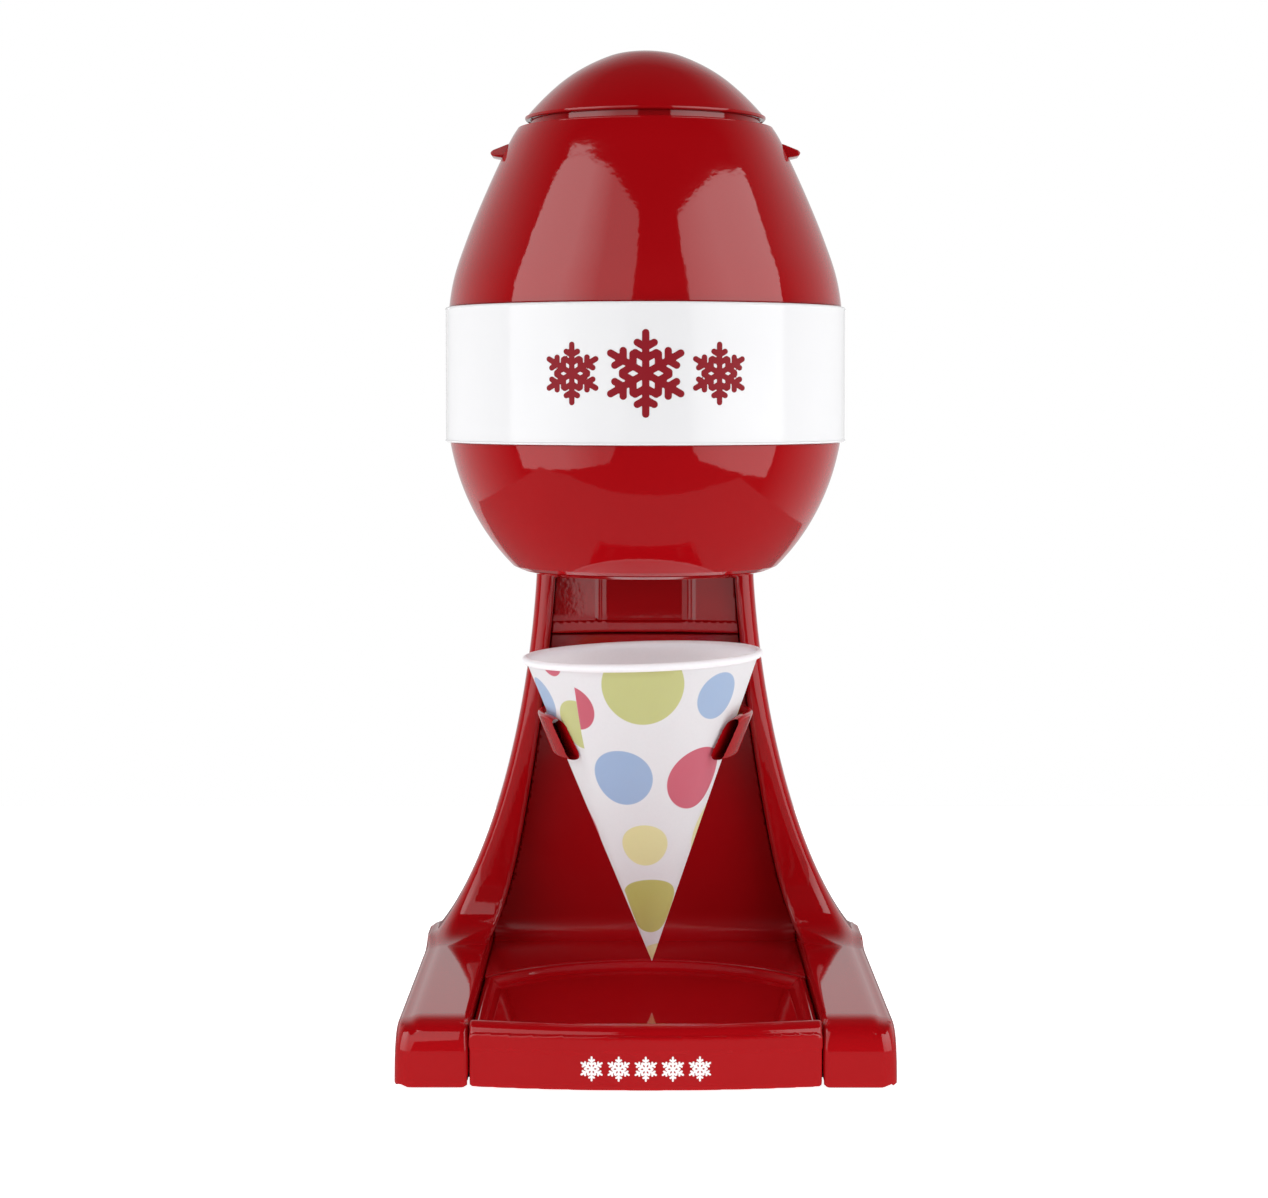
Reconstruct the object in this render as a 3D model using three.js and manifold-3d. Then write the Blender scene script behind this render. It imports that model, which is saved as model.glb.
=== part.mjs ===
// Egg-shaped counter-top shaved ice machine on a U-shaped stand, in millimetres, +Z up.
// The origin is on the surface it stands on, at the middle of its box. The front faces -Y.
import * as THREE from 'three';
import { mergeVertices } from 'three/addons/utils/BufferGeometryUtils.js';
import Module from 'manifold-3d';

const wasm = await Module();
wasm.setup();

// ---- Driving dimensions ----
const GAP = 0.3;                 // clearance between pieces that touch
const AXIS_Y = 7;                // the egg's axis, behind the middle of the footprint
const SEGMENTS = 36;             // sides of a large turned piece

const EGG = { radius: 79, wall: 2.6, upperFoot: 262, lowerTop: 250, lowerHeight: 87.5, floor: 181.6 };
const BAND = { bottom: 233.7, top: 287, radius: 79.4, inner: 76.9, seat: 76.6 };
const RIM = { z: 358.2, inner: 48 };                    // opening at the top of the upper shell
const LEDGE = { top: 344.6, bottom: 342.4, inner: 46 }; // shelf that the lid ring rests on
const DOME = { edge: 361.6, top: 389.2, skirtOuter: 45.5, skirtInner: 41.5, skirtBottom: 350.6 };
const RING = { outer: 47.7, inner: 45.8, bottom: 344.9, top: 357.9, lip: 41.2 };

const STAND = {
  bottom: 0.6, armTop: 24.6, footFront: 105, rear: -97.14, footHalf: 92.1, flareHalf: 88.7,
  neckHalf: 45, neckZ: 178, neckEdge: -32, edgeLean: 24, topZ: 224, fillet: 14, wall: 3, capZ: 177.5,
};
const TRAY = {
  half: 64.2, bow: 6, rearCentre: 57.5, rearRadius: 79.5,
  floor: 17.6, rim: 20.6, skirt: 5.4, apron: 7, apronTop: 25,
};
const PLATE = { bottom: 2.8, top: 5, inset: 2.8 };      // base plate under the stand
const CUP = { rim: 47.7, top: 151.3, tip: 27.8, forward: 15, tilt: 1.8, pivot: 112 };
const HOLDER = { bottom: 111, top: 128.4, wall: 3, slack: 1.6 };

const DECK = { bottom: 236, top: 239, radius: 73.6 };   // plate that carries the hopper
const HOPPER = { outer: 41.2, inner: 39.2, top: 343.5, flange: 47 };
const SHAFT = { radius: 4, bore: 4.3, bottom: 212 };
const GEAR = { teeth: 48, bottom: 221, top: 226.5 };
const PINION = { teeth: 12, boreRadius: 1.6 };
const CENTRES = (GEAR.teeth + PINION.teeth) / 2;        // gear distance at module 1
const MOTOR = { radius: 15, bottom: 190, top: 215.7 };
const GEARBOX = { bottom: 216, top: 219 };
const ROD = { radius: 1.8, forward: -43.5, bottom: 261.5, top: 350.3 };
const LATCH = { pivotX: 51.4, pivotZ: 348.9, half: 7 };

// ---- Materials ----
const finish = (color, roughness, metalness = 0) =>
  new THREE.MeshStandardMaterial({ color, roughness, metalness });
const RED = finish('#a60a12', 0.12);
const DARK_RED = finish('#7c070d', 0.2);
const WHITE = finish('#f1eef0', 0.15);
const PAPER = finish('#ebe7ee', 0.7);
const CLEAR_GREY = finish('#c9ced2', 0.15);
const BLACK = finish('#1b1b1d', 0.5);
const RUBBER = finish('#2a2a2a', 0.9);
const STEEL = finish('#b8bcc0', 0.3, 1);
const BRASS = finish('#b9975a', 0.35, 1);
const NYLON = finish('#e3e0d6', 0.45);

// ---- Geometry helpers ----
const machine = new THREE.Group();

// Welds a closed geometry, drops its slivers and turns its faces outward.
function weld(geometry) {
  const bare = geometry.clone();
  bare.deleteAttribute('normal');
  bare.deleteAttribute('uv');
  const merged = mergeVertices(bare, 1e-4);
  const at = merged.getAttribute('position');
  const corner = (i) => new THREE.Vector3().fromBufferAttribute(at, i);
  const faces = [];
  let volume = 0;
  for (let i = 0; i < merged.index.count; i += 3) {
    const [a, b, c] = [0, 1, 2].map((k) => merged.index.getX(i + k));
    if (a === b || b === c || c === a) continue;
    faces.push(a, b, c);
    volume += corner(a).dot(corner(b).cross(corner(c)));
  }
  if (volume < 0) faces.reverse();
  const welded = new THREE.BufferGeometry();
  welded.setAttribute('position', at);
  welded.setIndex(faces);
  return welded;
}

function solid(geometry) {
  const welded = weld(geometry);
  return new wasm.Manifold(new wasm.Mesh({
    numProp: 3,
    vertProperties: new Float32Array(welded.getAttribute('position').array),
    triVerts: new Uint32Array(welded.index.array),
  }));
}

const cut = (body, ...tools) => tools.reduce((rest, tool) => rest.subtract(tool), body);
const join = (...bodies) => bodies.reduce((sum, body) => sum.add(body));

// Adds a named piece; shape is a manifold solid or a closed geometry.
function add(name, shape, material, x = 0, y = 0, z = 0) {
  let geometry = shape;
  if (shape.getMesh) {
    const mesh = shape.getMesh();
    geometry = new THREE.BufferGeometry();
    geometry.setAttribute('position', new THREE.BufferAttribute(new Float32Array(mesh.vertProperties), 3));
    geometry.setIndex(new THREE.BufferAttribute(new Uint32Array(mesh.triVerts), 1));
  } else {
    geometry = weld(shape);
  }
  geometry.computeVertexNormals();
  const piece = new THREE.Mesh(geometry, material);
  piece.name = name;
  piece.position.set(x, y, z);
  machine.add(piece);
  return piece;
}

const back = (forward) => AXIS_Y - forward;   // row Y of a distance in front of the egg's axis

// Turned piece from (radius, z) points, about a vertical axis at (x, y).
function turned(points, segments = SEGMENTS, x = 0, y = AXIS_Y) {
  const profile = points.map(([r, z]) => new THREE.Vector2(r, z));
  const closedOnAxis = points[0][0] === 0;
  if (!closedOnAxis) profile.push(profile[0].clone());
  const geometry = new THREE.LatheGeometry(profile, segments);
  geometry.rotateX(Math.PI / 2);
  geometry.translate(x, y, 0);
  return solid(geometry);
}

const rod = (radius, z0, z1, x = 0, y = AXIS_Y, sides = 16) =>
  turned([[0, z0], [radius, z0], [radius, z1], [0, z1]], sides, x, y);

function box(x0, x1, y0, y1, z0, z1) {
  const geometry = new THREE.BoxGeometry(x1 - x0, y1 - y0, z1 - z0);
  geometry.translate((x0 + x1) / 2, (y0 + y1) / 2, (z0 + z1) / 2);
  return solid(geometry);
}

function extrusion(outline, depth) {
  const shape = new THREE.Shape(outline.map(([u, v]) => new THREE.Vector2(u, v)));
  return new THREE.ExtrudeGeometry(shape, { depth, bevelEnabled: false });
}

// Outline in X and Y, raised from z0 to z1.
function raised(outline, z0, z1) {
  const geometry = extrusion(outline, z1 - z0);
  geometry.translate(0, 0, z0);
  return solid(geometry);
}

// Outline in Y and Z, run along X from x0 to x1.
function sideways(outline, x0, x1) {
  const geometry = extrusion(outline, x1 - x0);
  const turn = new THREE.Matrix4().makeBasis(
    new THREE.Vector3(0, 1, 0), new THREE.Vector3(0, 0, 1), new THREE.Vector3(1, 0, 0));
  geometry.applyMatrix4(turn);
  geometry.translate(x0, 0, 0);
  return solid(geometry);
}

// Outline in X and Z, run along Y from y0 to y1.
function frontwards(outline, y0, y1) {
  const geometry = extrusion(outline, y1 - y0);
  const turn = new THREE.Matrix4().makeBasis(
    new THREE.Vector3(1, 0, 0), new THREE.Vector3(0, 0, 1), new THREE.Vector3(0, -1, 0));
  geometry.applyMatrix4(turn);
  geometry.translate(0, y1, 0);
  return solid(geometry);
}

// Closed skin over rings of [x, y, z] points that all have the same count; the ends are capped.
function loft(rings) {
  const count = rings[0].length;
  const points = rings.flat();
  const faces = [];
  for (let level = 0; level + 1 < rings.length; level += 1) {
    for (let i = 0; i < count; i += 1) {
      const a = level * count + i;
      const b = level * count + ((i + 1) % count);
      faces.push(a, b, b + count, a, b + count, a + count);
    }
  }
  const last = (rings.length - 1) * count;
  for (let i = 1; i + 1 < count; i += 1) {
    faces.push(0, i + 1, i);
    faces.push(last, last + i, last + i + 1);
  }
  const geometry = new THREE.BufferGeometry();
  geometry.setAttribute('position', new THREE.Float32BufferAttribute(points.flat(), 3));
  geometry.setIndex(faces);
  return solid(geometry);
}

const arc = (cx, cy, radius, from, to, steps) => Array.from({ length: steps + 1 }, (_, i) => {
  const angle = THREE.MathUtils.degToRad(from + ((to - from) * i) / steps);
  return [cx + radius * Math.cos(angle), cy + radius * Math.sin(angle)];
});

const mirrorX = (body) => body.mirror([1, 0, 0]);

// ---- Egg surface ----
const upperCurve = new THREE.SplineCurve([
  [79, 262], [77.4, 292], [71, 314], [58.6, 343], [49.1, 360.2], [32.4, 377], [14.8, 386.6],
  [0, DOME.top],
].map(([r, z]) => new THREE.Vector2(r, z)));

// Points of the upper egg between two heights, moved in by the wall's thickness.
function upperArc(from, to, steps, inset = 0) {
  const samples = upperCurve.getPoints(160);
  const radiusAt = (z) => {
    const k = samples.findIndex((p) => p.y >= z);
    const [a, b] = [samples[Math.max(k - 1, 0)], samples[k]];
    return b.y === a.y ? b.x : a.x + ((b.x - a.x) * (z - a.y)) / (b.y - a.y);
  };
  return Array.from({ length: steps + 1 }, (_, i) => {
    const z = from + ((to - from) * i) / steps;
    return [radiusAt(z) - inset, z];
  });
}

function lowerRadius(z) {
  const rise = (EGG.lowerTop - z) / EGG.lowerHeight;
  return EGG.radius * Math.sqrt(1 - rise * rise);
}

const lowerArc = (from, to, steps, inset = 0) => Array.from({ length: steps + 1 }, (_, i) => {
  const z = from + ((to - from) * i) / steps;
  return [lowerRadius(z) - inset, z];
});

// ---- Stand ----
// Outer half-width of the stand's column, as (half-width, z).
const columnCurve = new THREE.CubicBezierCurve(
  new THREE.Vector2(STAND.neckHalf, STAND.neckZ), new THREE.Vector2(49.3, 110.5),
  new THREE.Vector2(68.1, 49.9), new THREE.Vector2(STAND.flareHalf, STAND.armTop));

function columnHalf(z) {
  if (z <= STAND.armTop) return STAND.flareHalf;
  if (z >= STAND.neckZ) return STAND.neckHalf;
  let [low, high] = [0, 1];
  for (let i = 0; i < 30; i += 1) {
    const t = (low + high) / 2;
    if (columnCurve.getPoint(t).y > z) low = t;
    else high = t;
  }
  return columnCurve.getPoint(low).x;
}

// Width of the ribbon that edges the channel, from 8 at the neck to 24 on the arms.
const drop = (z) => Math.max((STAND.neckZ - z) / 152, 0);
const ribbon = (z) => 8 + 16 * Math.min(drop(z), 1) ** 2.8;
const innerHalf = (z) => Math.min(columnHalf(z) - ribbon(z), TRAY.half + GAP);
const lean = (z) => STAND.neckEdge - STAND.edgeLean * drop(z) ** 1.3;
const rearEdge = (z) => STAND.rear + 27 * Math.sin((Math.PI / 2) * Math.min(Math.max(z, 0) / 190, 1)) ** 1.2;

// D-shaped section: flat front, straight sides, rounded rear corners.
function section(half, front, rear, corner, z) {
  const [yFront, yRear] = [back(front), back(rear)];
  const right = arc(half - corner, yRear - corner, corner, 0, 90, 5);
  const left = arc(-half + corner, yRear - corner, corner, 90, 180, 5);
  return [[-half, yFront], [half, yFront], ...right, ...left].map(([x, y]) => [x, y, z]);
}

function standOuter() {
  const rings = [];
  const top = STAND.armTop;
  for (const [z, inset] of [[STAND.bottom, 0], [12, 0], [top - 3, 0], [top - 1, 0.9], [top, 3]]) {
    rings.push(section(STAND.footHalf - inset, STAND.footFront - inset, rearEdge(z), 26, z));
  }
  for (const rise of [0, 1, 3, 7, STAND.fillet]) {
    const reach = STAND.fillet - Math.sqrt(STAND.fillet ** 2 - (STAND.fillet - rise) ** 2);
    const z = top + rise;
    rings.push(section(columnHalf(z), lean(z) + reach, rearEdge(z), 26, z));
  }
  for (const z of [50, 65, 85, 110, 140, STAND.neckZ, 200, STAND.topZ]) {
    rings.push(section(columnHalf(z), lean(z), rearEdge(z), 26, z));
  }
  return loft(rings);
}

// Space between the ribbons, from in front of the feet to the rear wall.
const channelLevels = [-1, STAND.armTop, 35, 50, 65, 85, 110, 140, STAND.capZ];
function channelSpace() {
  return loft(channelLevels.map((z) => section(
    innerHalf(z), STAND.footFront + 20, rearEdge(z) + STAND.wall, 16, z)));
}

// The egg's outer skin with its band, grown by the clearance.
const eggSpace = turned([
  [0, EGG.floor - GAP], [43.2, EGG.floor - GAP], [46.8, 181.8], [49.6, 182.8],
  ...lowerArc(184.6, BAND.bottom, 8, -2 * GAP),
  [BAND.radius + GAP, BAND.bottom], [BAND.radius + GAP, 262], [0, 262],
]);

const plateOutline = (inset) => section(
  STAND.footHalf - inset, STAND.footFront - inset, STAND.rear + inset, 26 - inset, 0,
).map(([x, y]) => [x, y]);

const footSpots = [[-77, 35], [77, 35], [-77, -30], [77, -30]];
const neckSpots = [[-14, -52], [14, -52]];
const spread = (spots, make) => join(...spots.map(([x, forward]) => make(x, back(forward))));

function armPockets() {
  const pocket = (x0, x1, f0, f1) => box(x0, x1, back(f1), back(f0), -1, STAND.armTop - 3.6);
  const right = join(pocket(68, 85, 42, 101), pocket(68, 85, -23, 28));
  return join(right, mirrorX(right));
}

const inlet = { x: 38, z: 15, radius: 5 };
const inletBore = frontwards(arc(inlet.x, inlet.z, inlet.radius + GAP, 0, 345, 23), back(-86), back(-99));

const stand = cut(
  standOuter(), channelSpace(), eggSpace, armPockets(), inletBore,
  raised(plateOutline(PLATE.inset - GAP), -1, PLATE.top + GAP),
  spread(footSpots, (x, y) => rod(1.9, 0, 18, x, y, 12)),
  spread(neckSpots, (x, y) => rod(2.1, 170, 200, x, y, 12)),
);
add('stand_shell', stand, RED);

const basePlate = cut(
  raised(plateOutline(PLATE.inset), PLATE.bottom, PLATE.top),
  box(-TRAY.half - 0.8, TRAY.half + 0.8, back(120), back(STAND.footFront - TRAY.apron - 0.5), 0, 10),
  spread(footSpots, (x, y) => rod(1.9, 0, 18, x, y, 12)),
);
add('base_plate', basePlate, BLACK);

const padSpots = [
  ['front_left', -77, 88], ['front_right', 77, 88], ['rear_left', -60, -75], ['rear_right', 60, -75],
];
for (const [place, x, forward] of padSpots) {
  add(`foot_pad_${place}`, new THREE.CylinderGeometry(8, 7.4, 2.5, 20).rotateX(-Math.PI / 2),
    RUBBER, x, back(forward), 1.25);
}

// Pan-head screw pointing up, its head's underside at z = 0 in its own frame.
function screw(headRadius, headHeight, shankRadius, length) {
  return turned([
    [0, -headHeight], [headRadius * 0.8, -headHeight], [headRadius, -headHeight * 0.6], [headRadius, 0],
    [shankRadius, 0], [shankRadius, length - 1], [shankRadius * 0.4, length], [0, length],
  ], 8, 0, 0);
}
footSpots.forEach(([x, forward], i) => {
  add(`base_screw_${i + 1}`, screw(3.2, 1.5, 1.6, 14), STEEL, x, back(forward), PLATE.bottom - GAP);
});
neckSpots.forEach(([x, forward], i) => {
  add(`neck_screw_${i + 1}`, screw(3.6, 2.4, 1.8, 15.5), STEEL, x, back(forward), STAND.capZ - GAP);
});

// Recessed inlet where a mains lead would enter, held by a flange behind the rear wall.
const inletCore = (radius, f0, f1) => frontwards(
  arc(inlet.x, inlet.z, radius, 0, 345, 23), back(f0), back(f1));
add('cord_inlet', cut(
  join(inletCore(inlet.radius, -85, -95), inletCore(7.5, -87.4, -90)), inletCore(2.6, -80, -99)), BLACK);

// ---- Channel liner, neck panel ----
const linerFace = (z) => lean(z) - 13;

function linerSide() {
  const fillet = 12;
  const floorZ = TRAY.rim;
  const start = linerFace(floorZ + fillet);
  const curve = arc(start + fillet, floorZ + fillet, fillet, 180, 270, 8);
  const wall = [[linerFace(153), 153], [linerFace(110), 110], [linerFace(70), 70]];
  const face = [...wall, ...curve, [60, floorZ]];
  const rearFace = [
    [60, floorZ - 2.4], [start + fillet, floorZ - 2.4], [start + 2, floorZ + 1.8], [start - 2.6, 36],
  ];
  const rearWall = [...wall].reverse().map(([f, z]) => [f - 2.6, z]);
  return [...face, ...rearFace, ...rearWall].map(([f, z]) => [back(f), z]);
}

// Block that fills the channel's width but for the clearance.
const channelFill = loft(channelLevels.map((z) => {
  const half = innerHalf(z) - GAP;
  return [[-half, back(80), z], [half, back(80), z], [half, back(-90), z], [-half, back(-90), z]];
}));

// Tray outline: bowed front, straight sides, arched rear.
function trayOutline(inset) {
  const half = TRAY.half - inset;
  const front = Array.from({ length: 13 }, (_, i) => {
    const x = -half + (2 * half * i) / 12;
    return [x, back(STAND.footFront - inset + TRAY.bow * (1 - (x / half) ** 2))];
  });
  const radius = TRAY.rearRadius - inset;
  const start = THREE.MathUtils.radToDeg(Math.acos(half / radius));
  return [...front, ...arc(0, back(TRAY.rearCentre), radius, start, 180 - start, 24)];
}

const holderSpots = [[-9, 118], [9, 118]];
const holderBores = join(...holderSpots.map(([x, z]) =>
  frontwards(arc(x, z, 1.9, 0, 330, 11), back(-20), back(-70))));
const liner = sideways(linerSide(), -TRAY.half, TRAY.half)
  .intersect(channelFill).subtract(raised(trayOutline(-GAP), 0, 40)).subtract(holderBores);
add('channel_liner', liner, DARK_RED);

// Panel under the egg: a flat middle and two wings that come forward to the ribbons.
function neckPanel() {
  const [middle, wing, slope] = [15.5, 45, 0.25];
  const wall = (offset) => [-wing, -middle, middle, wing].map((x) =>
    [x, back(-45 + slope * (Math.abs(x) - middle) - offset)]);
  const sheet = raised([...wall(0), ...wall(2.4).reverse()], 153.6, STAND.capZ - GAP);
  const lip = raised([...wall(-1), ...wall(2.4).reverse()], 153.6, 158.2);
  return join(sheet, lip).intersect(channelFill);
}
add('neck_panel', neckPanel(), RED);

// ---- Cup and its holder ----
const cupSlope = (CUP.rim - 1) / (CUP.top - CUP.tip);
const cupRadius = (z) => (z - CUP.tip) * cupSlope;
const holderRing = turned([
  [cupRadius(HOLDER.bottom) + HOLDER.slack, HOLDER.bottom],
  [cupRadius(HOLDER.bottom) + HOLDER.slack + HOLDER.wall, HOLDER.bottom],
  [cupRadius(HOLDER.top) + HOLDER.slack + HOLDER.wall, HOLDER.top],
  [cupRadius(HOLDER.top) + HOLDER.slack, HOLDER.top],
], SEGMENTS, 0, back(CUP.forward));
const holderMouth = sideways([
  [26, HOLDER.bottom - 2], [26, 119], [22, 124], [15, HOLDER.top], [15, HOLDER.top + 2],
  [60, HOLDER.top + 2], [60, HOLDER.bottom - 2],
].map(([f, z]) => [back(CUP.forward + f), z]), -60, 60);
const bracketBack = (z) => back(linerFace(z) + GAP);
const bracket = sideways([
  [back(-22), 112], [back(-22), 126], [bracketBack(126), 126], [bracketBack(112), 112],
], -5.5, 5.5);
const bracketPlate = sideways([
  [bracketBack(105) - 3, 105], [bracketBack(131) - 3, 131], [bracketBack(131), 131], [bracketBack(105), 105],
], -14, 14);
const cupClearance = turned([
  [0, CUP.tip - 20], [cupRadius(134) + HOLDER.slack, 134], [0, 134],
], SEGMENTS, 0, back(CUP.forward));
add('cone_holder', cut(join(cut(holderRing, holderMouth), bracket.subtract(cupClearance), bracketPlate),
  holderBores), RED);

holderSpots.forEach(([x, z], i) => {
  const y = bracketBack(z) - 3 - 2 * GAP;
  const piece = add(`holder_screw_${i + 1}`, screw(3, 1.8, 1.6, 10), STEEL, x, y, z);
  piece.rotation.x = -Math.PI / 2;
});

const cupProfile = [
  [0, CUP.tip], [1.2, CUP.tip + 0.5], [cupRadius(CUP.top - 3.4), CUP.top - 3.4],
  [CUP.rim - 0.6, CUP.top - 3.2], [CUP.rim, CUP.top - 2], [CUP.rim - 0.3, CUP.top - 0.5],
  [CUP.rim - 1.4, CUP.top], [CUP.rim - 2.6, CUP.top - 0.6], [0, CUP.tip + 3.6],
];
const cup = add('paper_cup', turned(cupProfile, SEGMENTS, 0, 0).translate([0, 0, -CUP.pivot]),
  PAPER, 0, back(CUP.forward), CUP.pivot);
cup.rotation.y = -THREE.MathUtils.degToRad(CUP.tilt);

// ---- Drip tray ----
const apronSkin = loft([[0, 1], [0, 20.4], [0.7, 22.6], [2, 24.1], [3.4, 24.8], [4.6, TRAY.apronTop]]
  .map(([inset, z]) => trayOutline(inset).map(([x, y]) => [x, y, z])));
const apron = apronSkin.subtract(raised(trayOutline(TRAY.apron), 0, 30)).intersect(box(
  -TRAY.half - 1, TRAY.half + 1, back(STAND.footFront + 12), back(STAND.footFront - TRAY.apron), 0, 30));
const dish = raised(trayOutline(0), TRAY.floor - 2, TRAY.rim)
  .subtract(raised(trayOutline(3), TRAY.floor, 30));
const runner = (x0, x1) => box(x0, x1, back(100), back(36), TRAY.skirt, TRAY.floor - 1);
const runners = [runner(-TRAY.half, -TRAY.half + 3), runner(TRAY.half - 3, TRAY.half)];
add('drip_tray', join(dish, apron, ...runners), RED);

// ---- Egg shells and band ----
const snowOutlet = { half: 20, centre: 18, depth: 17 };
const ventHeights = [196, 202, 208, 214, 220];
const vents = join(...ventHeights.map((z) => box(-16, 16, back(-48), back(-90), z, z + 3)));
const lowerShell = cut(
  turned([
    [0, EGG.floor], [43, EGG.floor], [46.5, 182.2], [49.2, 183.2], ...lowerArc(185, BAND.bottom, 7),
    [BAND.seat, BAND.bottom + 0.3], [BAND.seat, 262 - GAP], [BAND.seat - EGG.wall, 262 - GAP],
    [BAND.seat - EGG.wall, DECK.bottom - GAP], [70, DECK.bottom - GAP], [70, 233.5],
    ...lowerArc(186, 231, 5, EGG.wall).reverse(), [0, EGG.floor + EGG.wall],
  ]),
  box(-snowOutlet.half - 0.6, snowOutlet.half + 0.6, back(snowOutlet.centre + snowOutlet.depth + 0.6),
    back(snowOutlet.centre - snowOutlet.depth - 0.6), 170, 187),
  spread(neckSpots, (x, y) => rod(2.1, 170, 200, x, y, 12)), vents,
);
add('lower_shell', lowerShell, RED);

// Pin lugs that stand on the ledge inside the upper shell, one pair for each latch.
function pinLugs() {
  const lug = (y0, y1) => box(49.2, 53.6, AXIS_Y + y0, AXIS_Y + y1, LEDGE.top - 1, 351.4);
  const right = join(lug(7.4, 9.6), lug(-9.6, -7.4));
  return join(right, mirrorX(right));
}
const pinBore = (radius) => frontwards(
  arc(LATCH.pivotX, LATCH.pivotZ, radius, 0, 330, 11), AXIS_Y - 10, AXIS_Y + 10);
const bothSides = (body) => join(body, mirrorX(body));
const latchSlots = bothSides(box(50, 70, AXIS_Y - 7.3, AXIS_Y + 7.3, LEDGE.top + 0.5, 353.6));
const upperSkin = turned([
  [BAND.seat, 262], [BAND.seat, BAND.top + 0.3], ...upperArc(BAND.top + 0.3, RIM.z, 8),
  [RIM.inner, RIM.z], [51.2, 352], [55.2, LEDGE.top], [LEDGE.inner, LEDGE.top], [LEDGE.inner, LEDGE.bottom],
  ...upperArc(280, LEDGE.bottom - 0.2, 5, EGG.wall).reverse(), [BAND.seat - EGG.wall, 262],
]);
const upperShell = cut(join(upperSkin, pinLugs()), latchSlots, bothSides(pinBore(1.5)));
add('upper_shell', upperShell, RED);

add('centre_band', turned([
  [BAND.inner, BAND.bottom + 0.6], [BAND.radius - 0.7, BAND.bottom + 0.6], [BAND.radius, BAND.bottom + 1.4],
  [BAND.radius, BAND.top - 0.8], [BAND.radius - 0.7, BAND.top], [BAND.inner, BAND.top],
], 48), WHITE);

// ---- Deck, hopper and snow duct ----
const deck = cut(
  rod(DECK.radius, DECK.bottom, DECK.top, 0, AXIS_Y, SEGMENTS), rod(7.3, 230, 245, 0, AXIS_Y, 24),
  box(-16, 16, back(40), back(22), 230, 245),
);
add('mechanism_deck', deck, NYLON);

const bush = (z) => turned([[SHAFT.bore, z], [7, z], [7, z + 5], [SHAFT.bore, z + 5]], 24);
add('upper_bush', bush(DECK.bottom - 0.5), BRASS);

// Guides that keep the interlock rod beside the hopper.
const rodGuide = (z) => cut(
  box(-3.8, 3.8, back(-HOPPER.inner - 1), back(ROD.forward - 4), z, z + 5),
  rod(ROD.radius + GAP, z - 1, z + 6, 0, back(ROD.forward), 12));
const hopperWall = turned([
  [HOPPER.inner, DECK.top + GAP], [HOPPER.flange, DECK.top + GAP], [HOPPER.flange, 241.8],
  [HOPPER.outer, 241.8], [HOPPER.outer, HOPPER.top], [HOPPER.inner, HOPPER.top],
], 40);
add('ice_hopper', join(hopperWall, rodGuide(272), rodGuide(330)), CLEAR_GREY);

function ductSkin(wall, extend) {
  const levels = [
    [DECK.bottom - GAP + extend, 31, 9, 16.5], [231, 35.2, 8.7, 16], [228, 37, 9, 16], [219, 37, 9, 16],
    [205, 33, 11, 17], [194, 24.5, 14.3, 18.4], [187.5, 18, 17, 20], [182 - extend, 18, 17, 20],
  ];
  return loft(levels.map(([z, centre, depth, half]) => {
    const [y0, y1] = [back(centre + depth - wall), back(centre - depth + wall)];
    const x = half - wall;
    return [[-x, y0, z], [x, y0, z], [x, y1, z], [-x, y1, z]];
  }));
}
add('snow_duct', ductSkin(0, 0).subtract(ductSkin(1.4, 1)), NYLON);

// ---- Drive ----
const motorY = back(-CENTRES);
function gearboxPlate() {
  const outline = [
    [-36, back(22)], [36, back(22)], [36, back(-30)], [22, back(-50)], [-22, back(-50)], [-36, back(-30)],
  ];
  const posts = [[-31, 14], [31, 14], [-31, -24], [31, -24]];
  const plate = join(
    raised(outline, GEARBOX.bottom, GEARBOX.top),
    spread(posts, (x, y) => rod(3.2, GEARBOX.bottom + 0.5, DECK.bottom - GAP, x, y, 12)));
  return cut(plate, rod(7.3, 210, 230, 0, AXIS_Y, 24), rod(4, 210, 230, 0, motorY, 16));
}
add('gearbox_plate', gearboxPlate(), NYLON);
add('lower_bush', bush(GEARBOX.bottom - 0.3), BRASS);

add('motor_body', cut(
  turned([
    [0, MOTOR.bottom], [13, MOTOR.bottom], [MOTOR.radius, MOTOR.bottom + 2], [MOTOR.radius, MOTOR.top - 1],
    [MOTOR.radius - 1, MOTOR.top], [0, MOTOR.top],
  ], 32, 0, motorY),
  rod(PINION.boreRadius + 0.4, 196, 220, 0, motorY, 12)), STEEL);

// Straight-sided spur gear of module 1, with its first tooth (or gap) facing +Y.
function spurGear(teeth, z0, z1, bore, y, gapFirst) {
  const pitch = 360 / teeth;
  const root = teeth / 2 - 1.15;
  const tip = teeth / 2 + 0.75;
  const outline = [];
  for (let i = 0; i < teeth; i += 1) {
    const middle = 90 + pitch * (i + (gapFirst ? 0.5 : 0));
    for (const [radius, share] of [[root, -0.27], [tip, -0.11], [tip, 0.11], [root, 0.27]]) {
      const angle = THREE.MathUtils.degToRad(middle + share * pitch);
      outline.push([radius * Math.cos(angle), y + radius * Math.sin(angle)]);
    }
  }
  return raised(outline, z0, z1).subtract(rod(bore, z0 - 1, z1 + 1, 0, y, 20));
}
add('drive_gear', spurGear(GEAR.teeth, GEAR.bottom, GEAR.top, SHAFT.radius + 0.1, AXIS_Y, false), NYLON);
add('pinion', spurGear(PINION.teeth, GEAR.bottom, GEAR.top, PINION.boreRadius + 0.1, motorY, true), BRASS);
add('rotor_shaft', rod(PINION.boreRadius, 198, 229, 0, motorY, 20), STEEL);

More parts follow.
